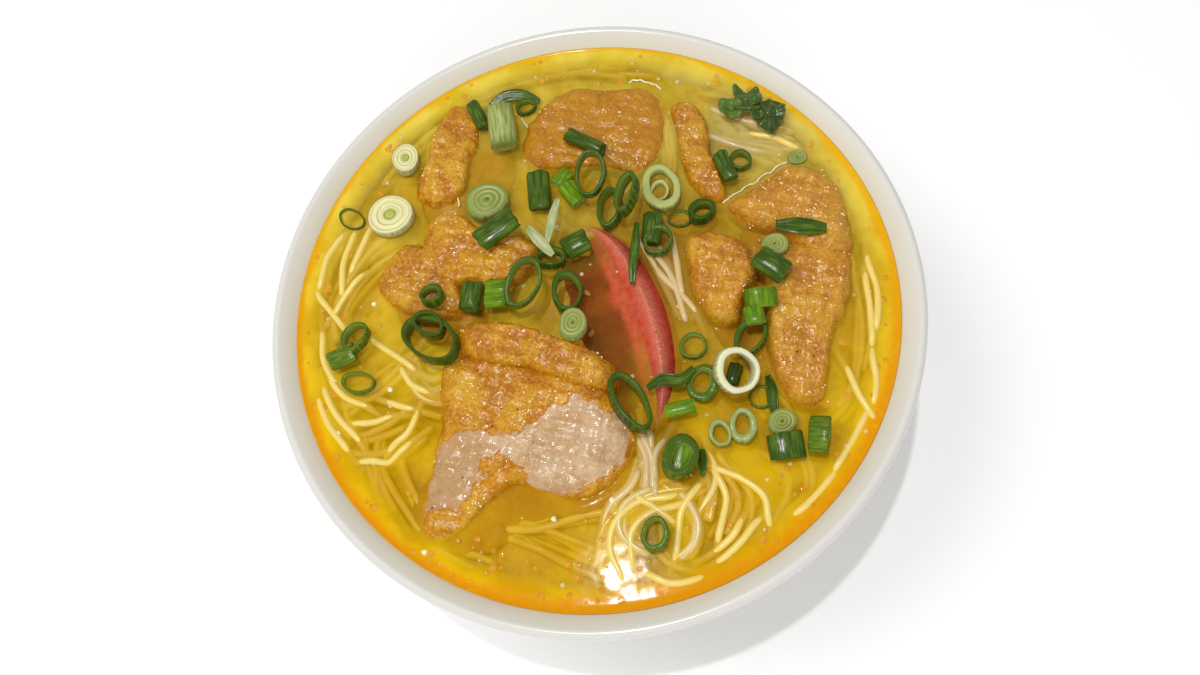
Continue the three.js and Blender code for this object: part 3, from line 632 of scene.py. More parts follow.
# Parts of the fish cakes that lie wholly under the broth: their outlines, how high they reach and how
# clear the broth is over them.
SUNKEN_CAKES = [
    ([(47.7, 24.7), (56.8, 22), (64, 14), (65.3, 4), (62.9, -7.3), (58.1, -15.1), (52.4, -10.3), (49, -0.5),
      (46.4, 12.1)], 63.3, 0.9),
    ([(36.8, -6.1), (45.2, -4.3), (54.1, -6.5), (59.5, -16.7), (64, -29.7), (60.1, -32.7), (53.2, -27.4),
      (46.2, -20.2), (40.5, -14.8)], 63.0, 0.7),
    ([(-44.8, 63.8), (-36, 65.8), (-29.9, 59.3), (-26.4, 49), (-27.9, 39.8), (-33.6, 35.6), (-40.3, 37.7),
      (-46.6, 42.3), (-48.8, 53.6)], 62.8, 0.5),
    ([(-58.4, 46.1), (-51.1, 48.8), (-42.7, 44), (-40.8, 34.8), (-41.5, 26.6), (-49.5, 26), (-55.9, 32.7)],
     63.4, 0.9),
    ([(-62, 1.3), (-52.4, 2.5), (-42.8, 2.2), (-34.6, -1.3), (-33, -6.7), (-39, -11.8), (-48, -12.3),
      (-56.9, -8.8)], 63.2, 0.8),
    ([(-51.5, -62.5), (-47.7, -55.2), (-39, -51.6), (-29.9, -53.5), (-21.2, -56.4), (-18, -62.5),
      (-22.5, -71.6), (-29.1, -76.3), (-37.3, -75.8), (-44.6, -74.7), (-50.4, -71.7)], 63.0, 0.6),
    ([(-25.4, -56.1), (-13.6, -56.1), (-2, -56.2), (9.5, -52.4), (16.4, -47.2), (18.7, -52.4),
      (14.1, -59.9), (3.9, -64.2), (-7.5, -65.9), (-20.5, -66.5)], 62.9, 0.6),
    ([(-1.7, 65.7), (14.9, 68.8), (22.8, 61.9), (20.8, 51.9), (12.4, 46.3), (2, 48.2)], 63, 0.5),
]

# The torn face on the front fish cake, where its flesh shows.
CUT_FACE = [(-47.5, -63), (-46, -55), (-44, -47), (-40, -43), (-33, -41.5), (-24.6, -43), (-18, -41),
            (-12, -36.5), (-8, -34.5), (-3.5, -31.5), (4, -35), (11.5, -40), (11.5, -48), (7, -53.5),
            (-1, -58.5), (-9.4, -60), (-15.5, -57), (-18.5, -52.5), (-24.4, -48.8), (-31, -50.5),
            (-28.5, -54.5), (-33, -57), (-36, -64)]


def crag_height(x, y):
    """The solids' own unevenness, about −1 to 1."""
    wide = np.sin(x * 0.42 + 1.3) * np.cos(y * 0.37 - 0.6)
    fine = np.sin(x * 0.83 + y * 0.59) * np.cos(y * 0.91 - x * 0.47 + 0.8)
    return 0.6 * wide + 0.4 * fine


def inside_share(points, outline, edge):
    """1 inside a closed outline and 0 outside, with an edge of the given width."""
    line = spline(outline, 160, closed=True)
    ahead = np.roll(line, -1, axis=0)
    x, y = points[:, 0, None], points[:, 1, None]
    with np.errstate(divide="ignore", invalid="ignore"):
        crossing = ((line[:, 1] > y) != (ahead[:, 1] > y)) & (
            x < (ahead[:, 0] - line[:, 0]) * (y - line[:, 1]) / (ahead[:, 1] - line[:, 1]) + line[:, 0])
    inside = crossing.sum(axis=1) % 2 == 1
    distance = np.sqrt(((points[:, None, :2] - line[None]) ** 2).sum(axis=2).min(axis=1))
    return smooth_step(-edge, edge, np.where(inside, distance, -distance))


def crust_relief(points, number):
    """Broad swells, and these with blisters, small lumps and creases on them."""
    big = grain(points, 7.0, 3, number)
    blisters = pebbles(points, 7.5, number)
    small = pebbles(points, 2.6, number + 5)
    crease = np.abs(grain(points, 5.0, 2, number + 9))
    lump = 0.6 * big + 0.7 * (blisters - 0.45) + 0.2 * (small - 0.4) - 0.2 * smooth_step(0.1, 0.0, crease)
    return big, lump


def torn_share(points):
    """1 on the torn face, whose edge is frayed, and 0 off it."""
    fray = np.column_stack([grain(points, 3.0, 3, 51), grain(points, 3.0, 3, 52)])
    return inside_share(points[:, :2] + 1.5 * fray, CUT_FACE, 0.7)


def patty(shape, number, outline, top, slope, crag, base=CAKE_BASE, level=WATERLINE, pink=0.0, soaked=0.0,
          cut=False):
    """Adds a fried patty to the shape: the solid's form, with lumps and hollows in its crust.

    It returns its points, and how much crust belongs to each of them above the broth. Top, slope and
    crag give the height, base and level its lowest and widest part, pink and soaked the crust's tint.
    """
    rim = spline(outline, CAKE_SIDES, closed=True)
    centre = rim.mean(axis=0)
    shares = np.r_[0.86, 0.94, np.cos(np.linspace(0, math.pi / 2, CAKE_STEPS)) ** 0.8]
    shares[-1] = 0.004
    rise = np.r_[-1.0, -0.45, (1 - shares[2:] ** 8) ** 0.75]
    flat = centre + shares[:, None, None] * (rim - centre)[None]
    x, y = flat[..., 0].ravel(), flat[..., 1].ravel()
    rises = np.repeat(rise, CAKE_SIDES)
    lean = slope[0] * (x - centre[0]) + slope[1] * (y - centre[1])
    upper = rises * (top - level + lean + crag * crag_height(x, y))
    z = level + np.where(rises > 0, upper, rises * (level - base))
    points = np.column_stack([x, y, z])
    big, lump = crust_relief(points, number)
    face = np.where(rises > 0.02, torn_share(points), 0) if cut else np.zeros(len(points))
    torn = 0.22 * grain(points, 1.6, 3, 31) + 0.5 * grain(points, 6.0, 2, 32) - 0.4
    bulge = smooth_step(-0.2, 0.3, rises)
    points[:, 2] += bulge * ((1 - face) * lump * 0.85 + face * torn)
    out = (flat - centre).reshape(-1, 2)
    out /= np.maximum(np.linalg.norm(out, axis=1), 1e-6)[:, None]
    ragged = 0.7 * grain(np.column_stack([x, y, np.zeros(len(x))]), 3.4, 3, number + 20)
    edge = np.repeat(smooth_step(0.6, 0.95, shares), CAKE_SIDES)
    points[:, :2] += out * (edge * ragged)[:, None]
    shape.add(points, ring_faces(len(shares), CAKE_SIDES), lump=0.5 + lump, cut=face, pink=pink + 0.3 * big,
              soaked=soaked * (0.7 + 0.5 * big), dull=smooth_step(-20, -40, x) * face)
    step = np.r_[0, -np.diff(shares)]
    area = np.repeat(shares * step, CAKE_SIDES) * np.ptp(rim[:, 0]) * np.ptp(rim[:, 1])
    # Patches where the crust's painted glint specks crowd together.
    crowd = smooth_step(-0.3, 0.5, grain(points, 6.0, 2, number + 30))
    return points, np.where(points[:, 2] > SOUP_LEVEL + 0.4, area * crowd, 0)


def make_cakes():
    material = crust_look()
    number = 0
    spots, areas = [], []
    for name, patties in FISH_CAKES.items():
        shape = Shape()
        for settings in patties:
            number += 1
            points, area = patty(shape, number, **settings)
            spots.append(points)
            areas.append(area)
        shape.make(name + "_fried", material, "fish_cake", [name])
    sunken = Shape()
    for outline, top, _ in SUNKEN_CAKES:
        number += 1
        patty(sunken, number, outline, top=top - 0.3, slope=(0, 0), crag=0.3, base=56, level=60.8, soaked=0.3)
    sunken.make("fish_cake_sunken", material, "fish_cake")
    # Pale specks on the crust above the broth: painted glints of the lamp on the wet crust.
    glint_specks = Shape()
    for spot in draw.choices(np.vstack(spots), np.concatenate(areas), k=GLINT_SPECKS):
        size = 0.08 + 0.26 * draw.random() ** 3
        glint_specks.add(*pip(spot + [draw.uniform(-0.4, 0.4), draw.uniform(-0.4, 0.4), 0.1],
                       size * draw.uniform(1, 2.2),
                       size, size * 0.6, draw.uniform(0, TURN), 4, 6))
    glint_specks.make("crust_painted_glints", plain_look("glint_speck_paint", (226, 182, 96), (250, 236, 200), 0.8, 0.08), "fish_cake")


# Tomato wedge: its section is the skin's arc up to the ridge, and then the other cut face,
# given as distances from the wedge's axis to the side and up.

TOMATO = dict(middle=(0.5, -9.4), heading=-72, half_length=37, width=25, height=13, axis_height=58.5,
              ridge=44, skin_edge=-5, bluntness=0.75, cut_face=[(11.5, 3.1), (2, 1.9)], heart=(-4.5, -1.2))
TOMATO_SEEDS = 15


def tomato_section():
    """Points round the wedge at its middle, and how far each is skin, firm rim, hollow, and near the ridge
    for the painted highlight there.
    """
    skin_steps, face_steps, under_steps = 26, 34, 14
    turns = np.radians(np.linspace(TOMATO["skin_edge"], TOMATO["ridge"], skin_steps))
    arc = np.column_stack([TOMATO["width"] * np.cos(turns), TOMATO["height"] * np.sin(turns)])
    face = spline([arc[-1], *TOMATO["cut_face"], TOMATO["heart"]], face_steps + 1)[1:]
    under = np.linspace(face[-1], arc[0], under_steps, endpoint=False)[1:]
    along = np.linspace(0, 1, face_steps)
    skin = np.r_[np.ones(skin_steps), np.zeros(face_steps + len(under))]
    rim = np.r_[np.ones(skin_steps), 1 - along, np.zeros(len(under))]
    hollow = np.r_[np.zeros(skin_steps), smooth_step(0.34, 0.42, along) * smooth_step(0.95, 0.85, along),
                   np.zeros(len(under))]
    section = np.vstack([arc, face, under])
    # Nearness to the ridge: where the painted highlight goes.
    ridge = np.exp(-(np.linalg.norm(section - arc[-1], axis=1) / 3.2) ** 2)
    return section, skin, rim, hollow, ridge


def make_tomato():
    heading = math.radians(TOMATO["heading"])
    forward = np.array([math.cos(heading), math.sin(heading), 0])
    side = np.array([-math.sin(heading), math.cos(heading), 0])
    axis = np.array([*TOMATO["middle"], TOMATO["axis_height"]])
    section, skin, rim, hollow, ridge = tomato_section()
    steps = 96
    latitudes = np.pi * ((np.arange(steps) + 0.5) / steps - 0.5)
    rows = []
    for latitude in latitudes:
        share = math.cos(latitude) ** TOMATO["bluntness"]
        origin = axis + forward * TOMATO["half_length"] * math.sin(latitude)
        rows.append(origin + np.outer(section[:, 0] * share, side) + np.outer(section[:, 1] * share,
                                                                              [0, 0, 1]))
    points = np.vstack(rows)
    skin, rim, hollow, ridge = (np.tile(value, steps) for value in (skin, rim, hollow, ridge))
    wall = smooth_step(0.05, 0.3, np.abs(np.sin(np.repeat(latitudes, len(section)) * 2.1 + 0.5)))
    hollow *= wall
    points[:, 2] -= 0.9 * hollow + 0.2 * grain(points, 3.0, 3, 3) * (1 - skin)
    points += 0.1 * (grain(points, 5.0, 3, 4) * skin)[:, None] * [0.4, 0, 1]
    faces = ring_faces(steps, len(section))
    Shape().add(points, faces, skin=skin, rim=rim, hollow=hollow, ridge=ridge).make(
        "tomato_cut", tomato_look(), "tomato", ["tomato_wedge"])
    seeds = Shape()
    for _ in range(TOMATO_SEEDS):
        spot = draw.choice(points[hollow > 0.7])
        seeds.add(*pip(spot + [0, 0, 0.5], 1.4, 0.9, 0.5, draw.uniform(0, TURN)))
    look = plain_look("tomato_seed", (176, 108, 46), (200, 140, 72), 0.8, 0.2, Coat_Weight=0.6)
    seeds.make("tomato_seeds", look, "tomato")


def pip(spot, length, width, thickness, turn, rows=6, sides=10):
    """A small drop-shaped lump, pointed at one end."""
    angle = np.linspace(0.15, math.pi - 0.15, rows)
    around = angles(sides)
    x = -np.cos(angle)[:, None] * np.ones(sides) * length
    narrow = 1 - 0.25 * np.cos(angle)[:, None]
    y = np.sin(angle)[:, None] * np.cos(around) * width * narrow
    z = np.sin(angle)[:, None] * np.sin(around) * thickness
    c, s = math.cos(turn), math.sin(turn)
    points = np.column_stack([(x * c - y * s).ravel(), (x * s + y * c).ravel(), z.ravel()]) + spot
    return points, ring_faces(rows, sides)


# Broth

def distance_from_cakes(flat):
    """Distance from the outlines of the fish cakes, exact near them."""
    near = np.full(len(flat), 99.0)
    x, y = flat[:, 0], flat[:, 1]
    for patties in FISH_CAKES.values():
        for settings in patties:
            line = spline(settings["outline"], 150, closed=True)
            low, high = line.min(axis=0) - 4, line.max(axis=0) + 4
            close = (x > low[0]) & (x < high[0]) & (y > low[1]) & (y < high[1])
            gap = np.sqrt(((flat[close, None, :2] - line[None]) ** 2).sum(axis=2).min(axis=1))
            near[close] = np.minimum(near[close], gap)
    return near


def make_broth():
    """The cloudy broth: its top rises a little at the wall and at the fish cakes."""
    sides = 400
    radii = np.r_[np.linspace(0.4, 86, 116), np.linspace(86.6, 92.55, 18)]
    turn = angles(sides)
    x = np.outer(radii, np.cos(turn)).ravel()
    y = np.outer(radii, np.sin(turn)).ravel()
    radius = np.hypot(x, y)
    flat = np.column_stack([x, y, np.zeros(len(x))])
    z = SOUP_LEVEL + 0.03 * grain(flat, 12.0, 2, 1) + 0.45 * np.exp((radius - SOUP_RADIUS) / 0.9)
    z += 0.4 * np.exp(-distance_from_cakes(flat) / 0.9)
    ragged = grain(flat, 9.0, 3, 2)
    heading = np.arctan2(y, x)
    width = 2.8 - 1.2 * np.sin(heading) + 1.0 * np.cos(heading + math.radians(45)) + 1.6 * ragged
    width = np.maximum(width, 1.0)
    oil = smooth_step(SOUP_RADIUS - width * 1.3, SOUP_RADIUS - width * 0.3, radius)
    front = smooth_step(60, -50, y + 6 * ragged)
    clear = smooth_step(26, 12, np.hypot((x - 2) * 1.1, (y + 8) * 0.72) + 2 * ragged)
    for outline, _, clearness in SUNKEN_CAKES:
        clear = np.maximum(clear, clearness * inside_share(flat, outline, 3.5))
    edge = smooth_step(78, 90, radius + 1.5 * ragged)
    murk = np.exp(-((x - 20) / 32) ** 2 - ((y - 10) / 36) ** 2)
    milk = 0.8 * np.exp(-((x - 50) / 20) ** 2 - ((y - 58) / 13) ** 2)
    points = np.column_stack([x, y, z])
    depth = [60, 56, 50, 44]
    circle = np.column_stack([np.cos(turn), np.sin(turn)])
    for level in depth:
        lower = np.column_stack([circle * (wall_radius(level) + 0.12), np.full(sides, level)])
        points = np.vstack([points, lower])
    faces = ring_faces(len(radii) + len(depth), sides)
    under = np.zeros(len(points) - len(x))
    values = dict(oil=np.r_[oil, under + 1], edge=np.r_[edge, under + 1])
    for name, value in dict(front=front, clear=clear, murk=murk, milk=milk).items():
        values[name] = np.r_[value, under]
    Shape().add(points, faces, **values).make("broth_liquid", broth_look(), "broth", ["broth"])


# Noodles

SURFACE_NOODLES = [
    [(-82, 24), (-85.5, 17), (-87, 7)], [(-78, 24), (-80, 15), (-79.5, 6)],
    [(-73, 25), (-75, 19), (-77, 13)], [(-74, 10), (-78.5, 3), (-81.5, -3)],
    [(-87, 4), (-82, -2), (-77, -8)], [(-84, -10), (-83, -17), (-79, -24)],
    [(-67, -12), (-61, -16), (-55, -20)], [(-57, -22), (-54, -26), (-50, -28)],
    [(-79, -25), (-74, -30), (-67, -33)], [(-62, -31), (-56, -33), (-51, -34)],
    [(-60, -36), (-64, -37.5), (-69, -38)], [(-81, -28), (-76, -36), (-69, -43)],
    [(-82.5, -31), (-78.5, -38.5), (-72.5, -45.5)], [(-52, -36), (-54, -41), (-58, -45)],
    [(-56, -47), (-59, -50), (-64, -49.5)], [(24, -60), (14, -62), (8, -68), (7, -75), (10, -82)],
    [(27, -62), (18, -65), (13, -70), (13, -77)], [(31, -58), (27, -64), (26, -70), (25, -77)],
    [(37, -54), (39.5, -60), (38.5, -66), (37, -72)], [(37, -52), (44, -55), (50, -60), (51, -66)],
    [(44, -66), (41, -71), (35, -76)], [(16, -81), (24, -84), (33, -82)], [(48, -67), (43, -73), (37, -78)],
    [(15, -60.5), (19, -63), (23, -66)], [(71, -52), (66, -58), (61, -63), (57, -66)],
    [(79, -38), (75, -45), (71, -51)], [(83, -19), (83.5, -26), (82.5, -32)], [(84, 12), (86, 2), (85, -9)],
    [(83, 8), (83.5, -4), (83, -16)], [(52, 57), (58, 55.5), (63, 52.5)], [(76, -24), (78, -30), (81, -36)],
]

# Paler noodles, clear of the broth's yellow.
PALE_NOODLES = [
    [(14.4, -43.1), (17, -49), (17, -56.6)], [(16, -42), (18.6, -49), (18.8, -58)],
    [(22.5, -43.2), (19.6, -48.2), (19.5, -54.6)], [(21.2, 8.9), (26.7, 2.8), (31.5, -3.2)],
    [(25, 20.7), (26.5, 12.5), (27.6, 3.8)],
]

# Bundles under the surface: the path they follow, how many, how wide they spread, their heights,
# and how pale they are.
BUNDLES = [
    ([(-60, 27), (-73, 15), (-80, -2), (-75, -19)], 6, 6, 59.6, 61.8, 0),
    ([(-50, -8), (-58, -18), (-68, -28), (-83, -33)], 6, 7, 59.6, 61.8, 0),
    ([(-48, -36), (-60, -43), (-72, -44), (-84, -28)], 6, 7, 59.6, 61.6, 0),
    ([(-54, -16), (-50, -27), (-42, -29), (-37, -24), (-40, -18)], 4, 3, 61.0, 62.2, 0.5),
    ([(-84, 26), (-88, 2), (-84, -22)], 4, 3, 59, 61.4, 0),
    ([(-62, -46), (-54, -60), (-42, -74), (-24, -82)], 5, 6, 58.8, 61, 0),
    ([(-66, -40), (-62, -56), (-56, -68)], 4, 5, 59.4, 61.6, 0),
    ([(-22, -66), (-6, -76), (10, -84)], 5, 7, 58.5, 60.4, 0),
    ([(-30, -68), (-14, -70), (2, -66), (18, -62)], 4, 5, 58.8, 60.8, 0),
    ([(17, -38), (17, -50), (20, -62)], 5, 2.6, 61.6, 62.6, 1),
    ([(34, -56), (18, -60), (7, -70), (10, -82), (24, -86)], 6, 5, 60.3, 62.0, 0),
    ([(30, -60), (22, -66), (24, -76), (36, -80)], 4, 4, 60.0, 61.8, 0),
    ([(50, -44), (58, -54), (54, -66), (42, -77)], 6, 6, 59.8, 61.8, 0),
    ([(36, -48), (43, -60), (38, -74)], 5, 5, 59.8, 62.1, 0),
    ([(30, -44), (34, -56), (30, -70)], 4, 4, 60, 62.2, 0.3),
    ([(17, -45), (13, -57), (7, -63), (5, -71), (9, -77), (18, -80)], 5, 1.8, 61.4, 62.5, 0.7),
    ([(23, -55), (29, -61), (32, -68), (30, -74), (24, -79)], 5, 1.8, 61.4, 62.5, 0.7),
    ([(19, -58), (11, -64), (10, -70), (13, -74), (23, -77)], 3, 1.2, 61.6, 62.6, 0.7),
    ([(86, 24), (88, 2), (85, -20), (77, -44)], 6, 4, 59, 61.8, 0),
    ([(68, -40), (77, -31), (82, -10), (84, 14)], 4, 4, 59, 61.6, 0),
    ([(80, -36), (72, -52), (58, -66), (44, -76)], 5, 5, 59, 61.6, 0),
    ([(-62, 58), (-42, 80), (-10, 87), (22, 85)], 5, 6, 58, 60.5, 0),
    ([(-72, 42), (-58, 64), (-36, 80)], 4, 6, 58, 60.8, 0),
    ([(34, 78), (52, 68), (68, 52)], 6, 6, 59, 61.8, 0.3),
    ([(36, 64), (50, 56), (66, 48)], 9, 8, 61, 62.6, 1),
    ([(14, 26), (24, 8), (31, -10)], 5, 3.2, 61.4, 62.5, 1),
    ([(44, -10), (50, -24), (56, -40)], 4, 5, 59.5, 61.6, 0.5),
    ([(-20, 34), (-8, 24), (4, 22)], 4, 5, 59.8, 61.8, 0.7),
    ([(-30, 40), (-34, 56), (-30, 72)], 4, 5, 59, 61, 0.3),
    ([(22, 66), (25, 50), (24, 36)], 4, 3, 59.8, 61.8, 0.4),
]

SURFACE_AXIS = 62.85
SUNK_AXIS = 60.0
SUNK_LENGTH = 9


def surface_path(points):
    """A noodle that skims the broth and goes on under it at both ends."""
    given = np.array(points, float)
    first, last = given[0] - given[1], given[-1] - given[-2]
    drift = np.array([draw.uniform(-2.5, 2.5), draw.uniform(-2.5, 2.5)])
    before = given[0] + first / np.linalg.norm(first) * SUNK_LENGTH + drift
    after = given[-1] + last / np.linalg.norm(last) * SUNK_LENGTH - drift
    path = spline([before, *given, after], 12 * (len(given) + 1))
    travel = np.r_[0, np.cumsum(np.linalg.norm(np.diff(path, axis=0), axis=1))]
    from_end = np.minimum(travel, travel[-1] - travel)
    rise = smooth_step(0, SUNK_LENGTH + 2.5, from_end)
    heights = SUNK_AXIS + (SURFACE_AXIS - SUNK_AXIS) * rise + 0.18 * np.sin(travel / 4 + drift[0] * 3)
    return inside_bowl(np.column_stack([path, heights]))


def inside_bowl(path):
    """The path drawn in to where the bowl's wall leaves room for a noodle."""
    room = wall_radius(path[:, 2]) - NOODLE_RADIUS - 0.3
    path[:, :2] *= np.minimum(1, room / np.hypot(path[:, 0], path[:, 1]))[:, None]
    return path


def make_strands():
    shape = Shape()
    for points in SURFACE_NOODLES:
        shape.add(*tube(surface_path(points), NOODLE_RADIUS, 12), pale=0)
    for points in PALE_NOODLES:
        shape.add(*tube(surface_path(points), NOODLE_RADIUS, 12), pale=1)
    for path, count, spread, low, high, pale in BUNDLES:
        line = spline(path, 26)
        ahead = np.gradient(line, axis=0)
        ahead /= np.linalg.norm(ahead, axis=1)[:, None]
        across = np.column_stack([-ahead[:, 1], ahead[:, 0]])
        share = np.linspace(0, 1, len(line))
        for _ in range(count):
            first, last = draw.uniform(-spread, spread), draw.uniform(-spread, spread)
            wave = draw.uniform(0.3, 1.4) * np.sin(share * draw.uniform(3, 7) + draw.uniform(0, TURN))
            offset = first + (last - first) * share + wave
            height = draw.uniform(low, high) + 0.5 * np.sin(share * draw.uniform(2, 6) + draw.uniform(0,
                                                                                                      TURN))
            flat = line + across * offset[:, None]
            start = draw.randrange(0, 5)
            stop = len(line) - draw.randrange(0, 5)
            path3 = inside_bowl(np.column_stack([flat, height])[start:stop])
            shape.add(*tube(path3, NOODLE_RADIUS, 8), pale=pale)
    shape.make("noodle_strands", noodle_look(), "noodles")


def make_bed():
    """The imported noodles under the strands, down to the bottom of the bowl."""
    sides = 220
    radii = np.linspace(0.4, 87, 90)
    turn = angles(sides)
    flat = np.column_stack([np.outer(radii, np.cos(turn)).ravel(), np.outer(radii, np.sin(turn)).ravel(),
                            np.zeros(len(radii) * sides)])
    flat[:, 2] = 57.6 + 1.0 * grain(flat, 10, 3, 6)
    under = [(84, 52), (72, 38), (54, 24), (30, 16)]
    circle = np.column_stack([np.cos(turn), np.sin(turn)])
    points = np.vstack([flat] + [np.column_stack([circle * r, np.full(sides, z)]) for r, z in under])
    faces = ring_faces(len(radii) + len(under), sides)
    back = smooth_step(-20, 60, points[:, 1])
    Shape().add(points, faces, back=back).make("noodle_bed", bed_look(), "noodles", ["noodles"])


def make_noodles():
    make_strands()
    make_bed()


# Scallions

WALL_SECTION = [(0, -0.88, 0), (0, -0.3, 0), (0, 0.3, 0), (0, 0.88, 0), (0.22, 1, 1), (0.78, 1, 1),
                (1, 0.88, 2), (1, 0.3, 2), (1, -0.3, 2), (1, -0.88, 2), (0.78, -1, 1), (0.22, -1, 1)]


def pose(points, x, y, turn, lean, toward):
    """The lean and heading of a piece, as on the solids."""
    spin = (Matrix.Rotation(math.radians(toward), 3, "Z") @ Matrix.Rotation(math.radians(lean), 3, "Y")
            @ Matrix.Rotation(math.radians(turn - toward), 3, "Z"))
    return points @ np.array(spin).T + [x, y, 0]


def ring(x, y, long, short, tall, wall, turn, lean=0, toward=0, sides=60):
    """An upright or tilted section of leaf, open at both ends, and a little out of round."""
    angle = angles(sides)
    phase = [draw.uniform(0, TURN) for _ in range(5)]
    uneven = (1 + 0.03 * np.sin(2 * angle + phase[0]) + 0.022 * np.sin(3 * angle + phase[1])
              + 0.01 * np.sin(6 * angle + phase[2]))
    thickness = wall * (1 + 0.2 * np.sin(angle + phase[3]))
    slant = 0.06 * np.sin(angle + phase[4]) + 0.03 * np.sin(5 * angle + phase[1])
    rows, side, along = [], [], []
    for inset, high, face in WALL_SECTION:
        rows.append(np.column_stack([
            (long / 2 * uneven - inset * thickness) * np.cos(angle),
            (short / 2 * uneven - inset * thickness) * np.sin(angle),
            tall / 2 * high * (1 + slant),
        ]))
        side.append(face)
        along.append(high * tall / 2)
    points = np.vstack(rows)
    radius = (long + short) / 4
    values = dict(side=np.repeat(side, sides), along=np.repeat(along, sides),
                  around=np.tile(radius * np.abs(angle - math.pi), len(WALL_SECTION)))
    faces = ring_faces(len(WALL_SECTION), sides, closed=True)
    return pose(points, x, y, turn, lean, toward), faces, values, "leaf"


def lying(x, y, length, width, height, heading, rise=4):
    """A section of leaf on its side."""
    return ring(x, y, height, width, length, 0.9, heading, 90 - rise, heading, 44)


def stalk_slice(x, y, long, short, tall, turn, lean=0, toward=0):
    """A solid slice of the stalk, its layers slightly stepped on both faces."""
    sides = 64
    angle = angles(sides)
    phase = [draw.uniform(0, TURN) for _ in range(3)]
    uneven = 1 + 0.02 * np.sin(2 * angle + phase[0]) + 0.015 * np.sin(3 * angle + phase[1])
    shares = np.linspace(0.02, 0.93, 26)
    step = 0.14 * np.sin(shares * 24 + phase[2])
    rows = [(share, tall / 2 + lift, 1, share) for share, lift in zip(shares, step)]
    rows += [(0.965, tall / 2 - 0.1, 0.6, 1), (0.985, tall / 4, 0, 1), (1, 0, 0, 1), (0.985, -tall / 4, 0, 1),
             (0.965, -tall / 2 + 0.1, 0.6, 1)]
    rows += [(share, -tall / 2 + lift, 1, share) for share, lift in zip(shares[::-1], step[::-1])]
    points, side, share_of, along = [], [], [], []
    for share, z, face, layer in rows:
        points.append(np.column_stack([long / 2 * share * uneven * np.cos(angle),
                                       short / 2 * share * uneven * np.sin(angle), np.full(sides, z)]))
        side.append(face)
        share_of.append(layer)
        along.append(z)
    values = dict(side=np.repeat(side, sides), share=np.repeat(share_of, sides),
                  along=np.repeat(along, sides),
                  around=np.tile((long + short) / 4 * np.abs(angle - math.pi), len(rows)))
    faces = ring_faces(len(rows), sides)
    return pose(np.vstack(points), x, y, turn, lean, toward), faces, values, "slice"


LEAF_THICKNESS = 0.6


def strip(points, width, roll):
    """A strip of leaf along a path of x, y and rise. Roll 0 lies flat, and roll 90 stands on edge."""
    path = spline([(p[0], p[1], p[2] if len(p) > 2 else 0) for p in points], 30)
    tangent = np.gradient(path, axis=0)
    tangent /= np.linalg.norm(tangent, axis=1)[:, None]
    level = np.column_stack([-tangent[:, 1], tangent[:, 0], np.zeros(len(path))])
    level /= np.linalg.norm(level, axis=1)[:, None]
    upright = np.cross(tangent, level)
    turn = math.radians(roll)
    across = level * math.cos(turn) + upright * math.sin(turn)
    through = np.cross(tangent, across)
    share = np.linspace(0, 1, len(path))
    taper = 0.35 + 0.65 * np.sin(math.pi * (0.07 + 0.86 * share))
    columns = np.linspace(-1, 1, 9)
    rows = []
    for face in (1, -1):
        for u in columns[::face]:
            curl = 0.25 * width * 0.18 * (u * u - 0.3)
            rows.append(path + across * (u * width / 2 * taper)[:, None]
                        + through * (face * LEAF_THICKNESS / 2 * (1 - 0.5 * u ** 4) + curl))
    points = np.stack(rows, axis=1).reshape(-1, 3)
    count = len(rows)
    faces = ring_faces(len(path), count)
    side = np.tile(np.r_[np.zeros(9), np.full(9, 2.0)], len(path))
    around = np.tile(np.r_[columns, columns[::-1]] * width / 2, len(path))
    along = np.repeat(share * np.linalg.norm(np.diff(path, axis=0), axis=1).sum(), count)
    return points, faces, dict(side=side, around=around, along=along), "leaf"


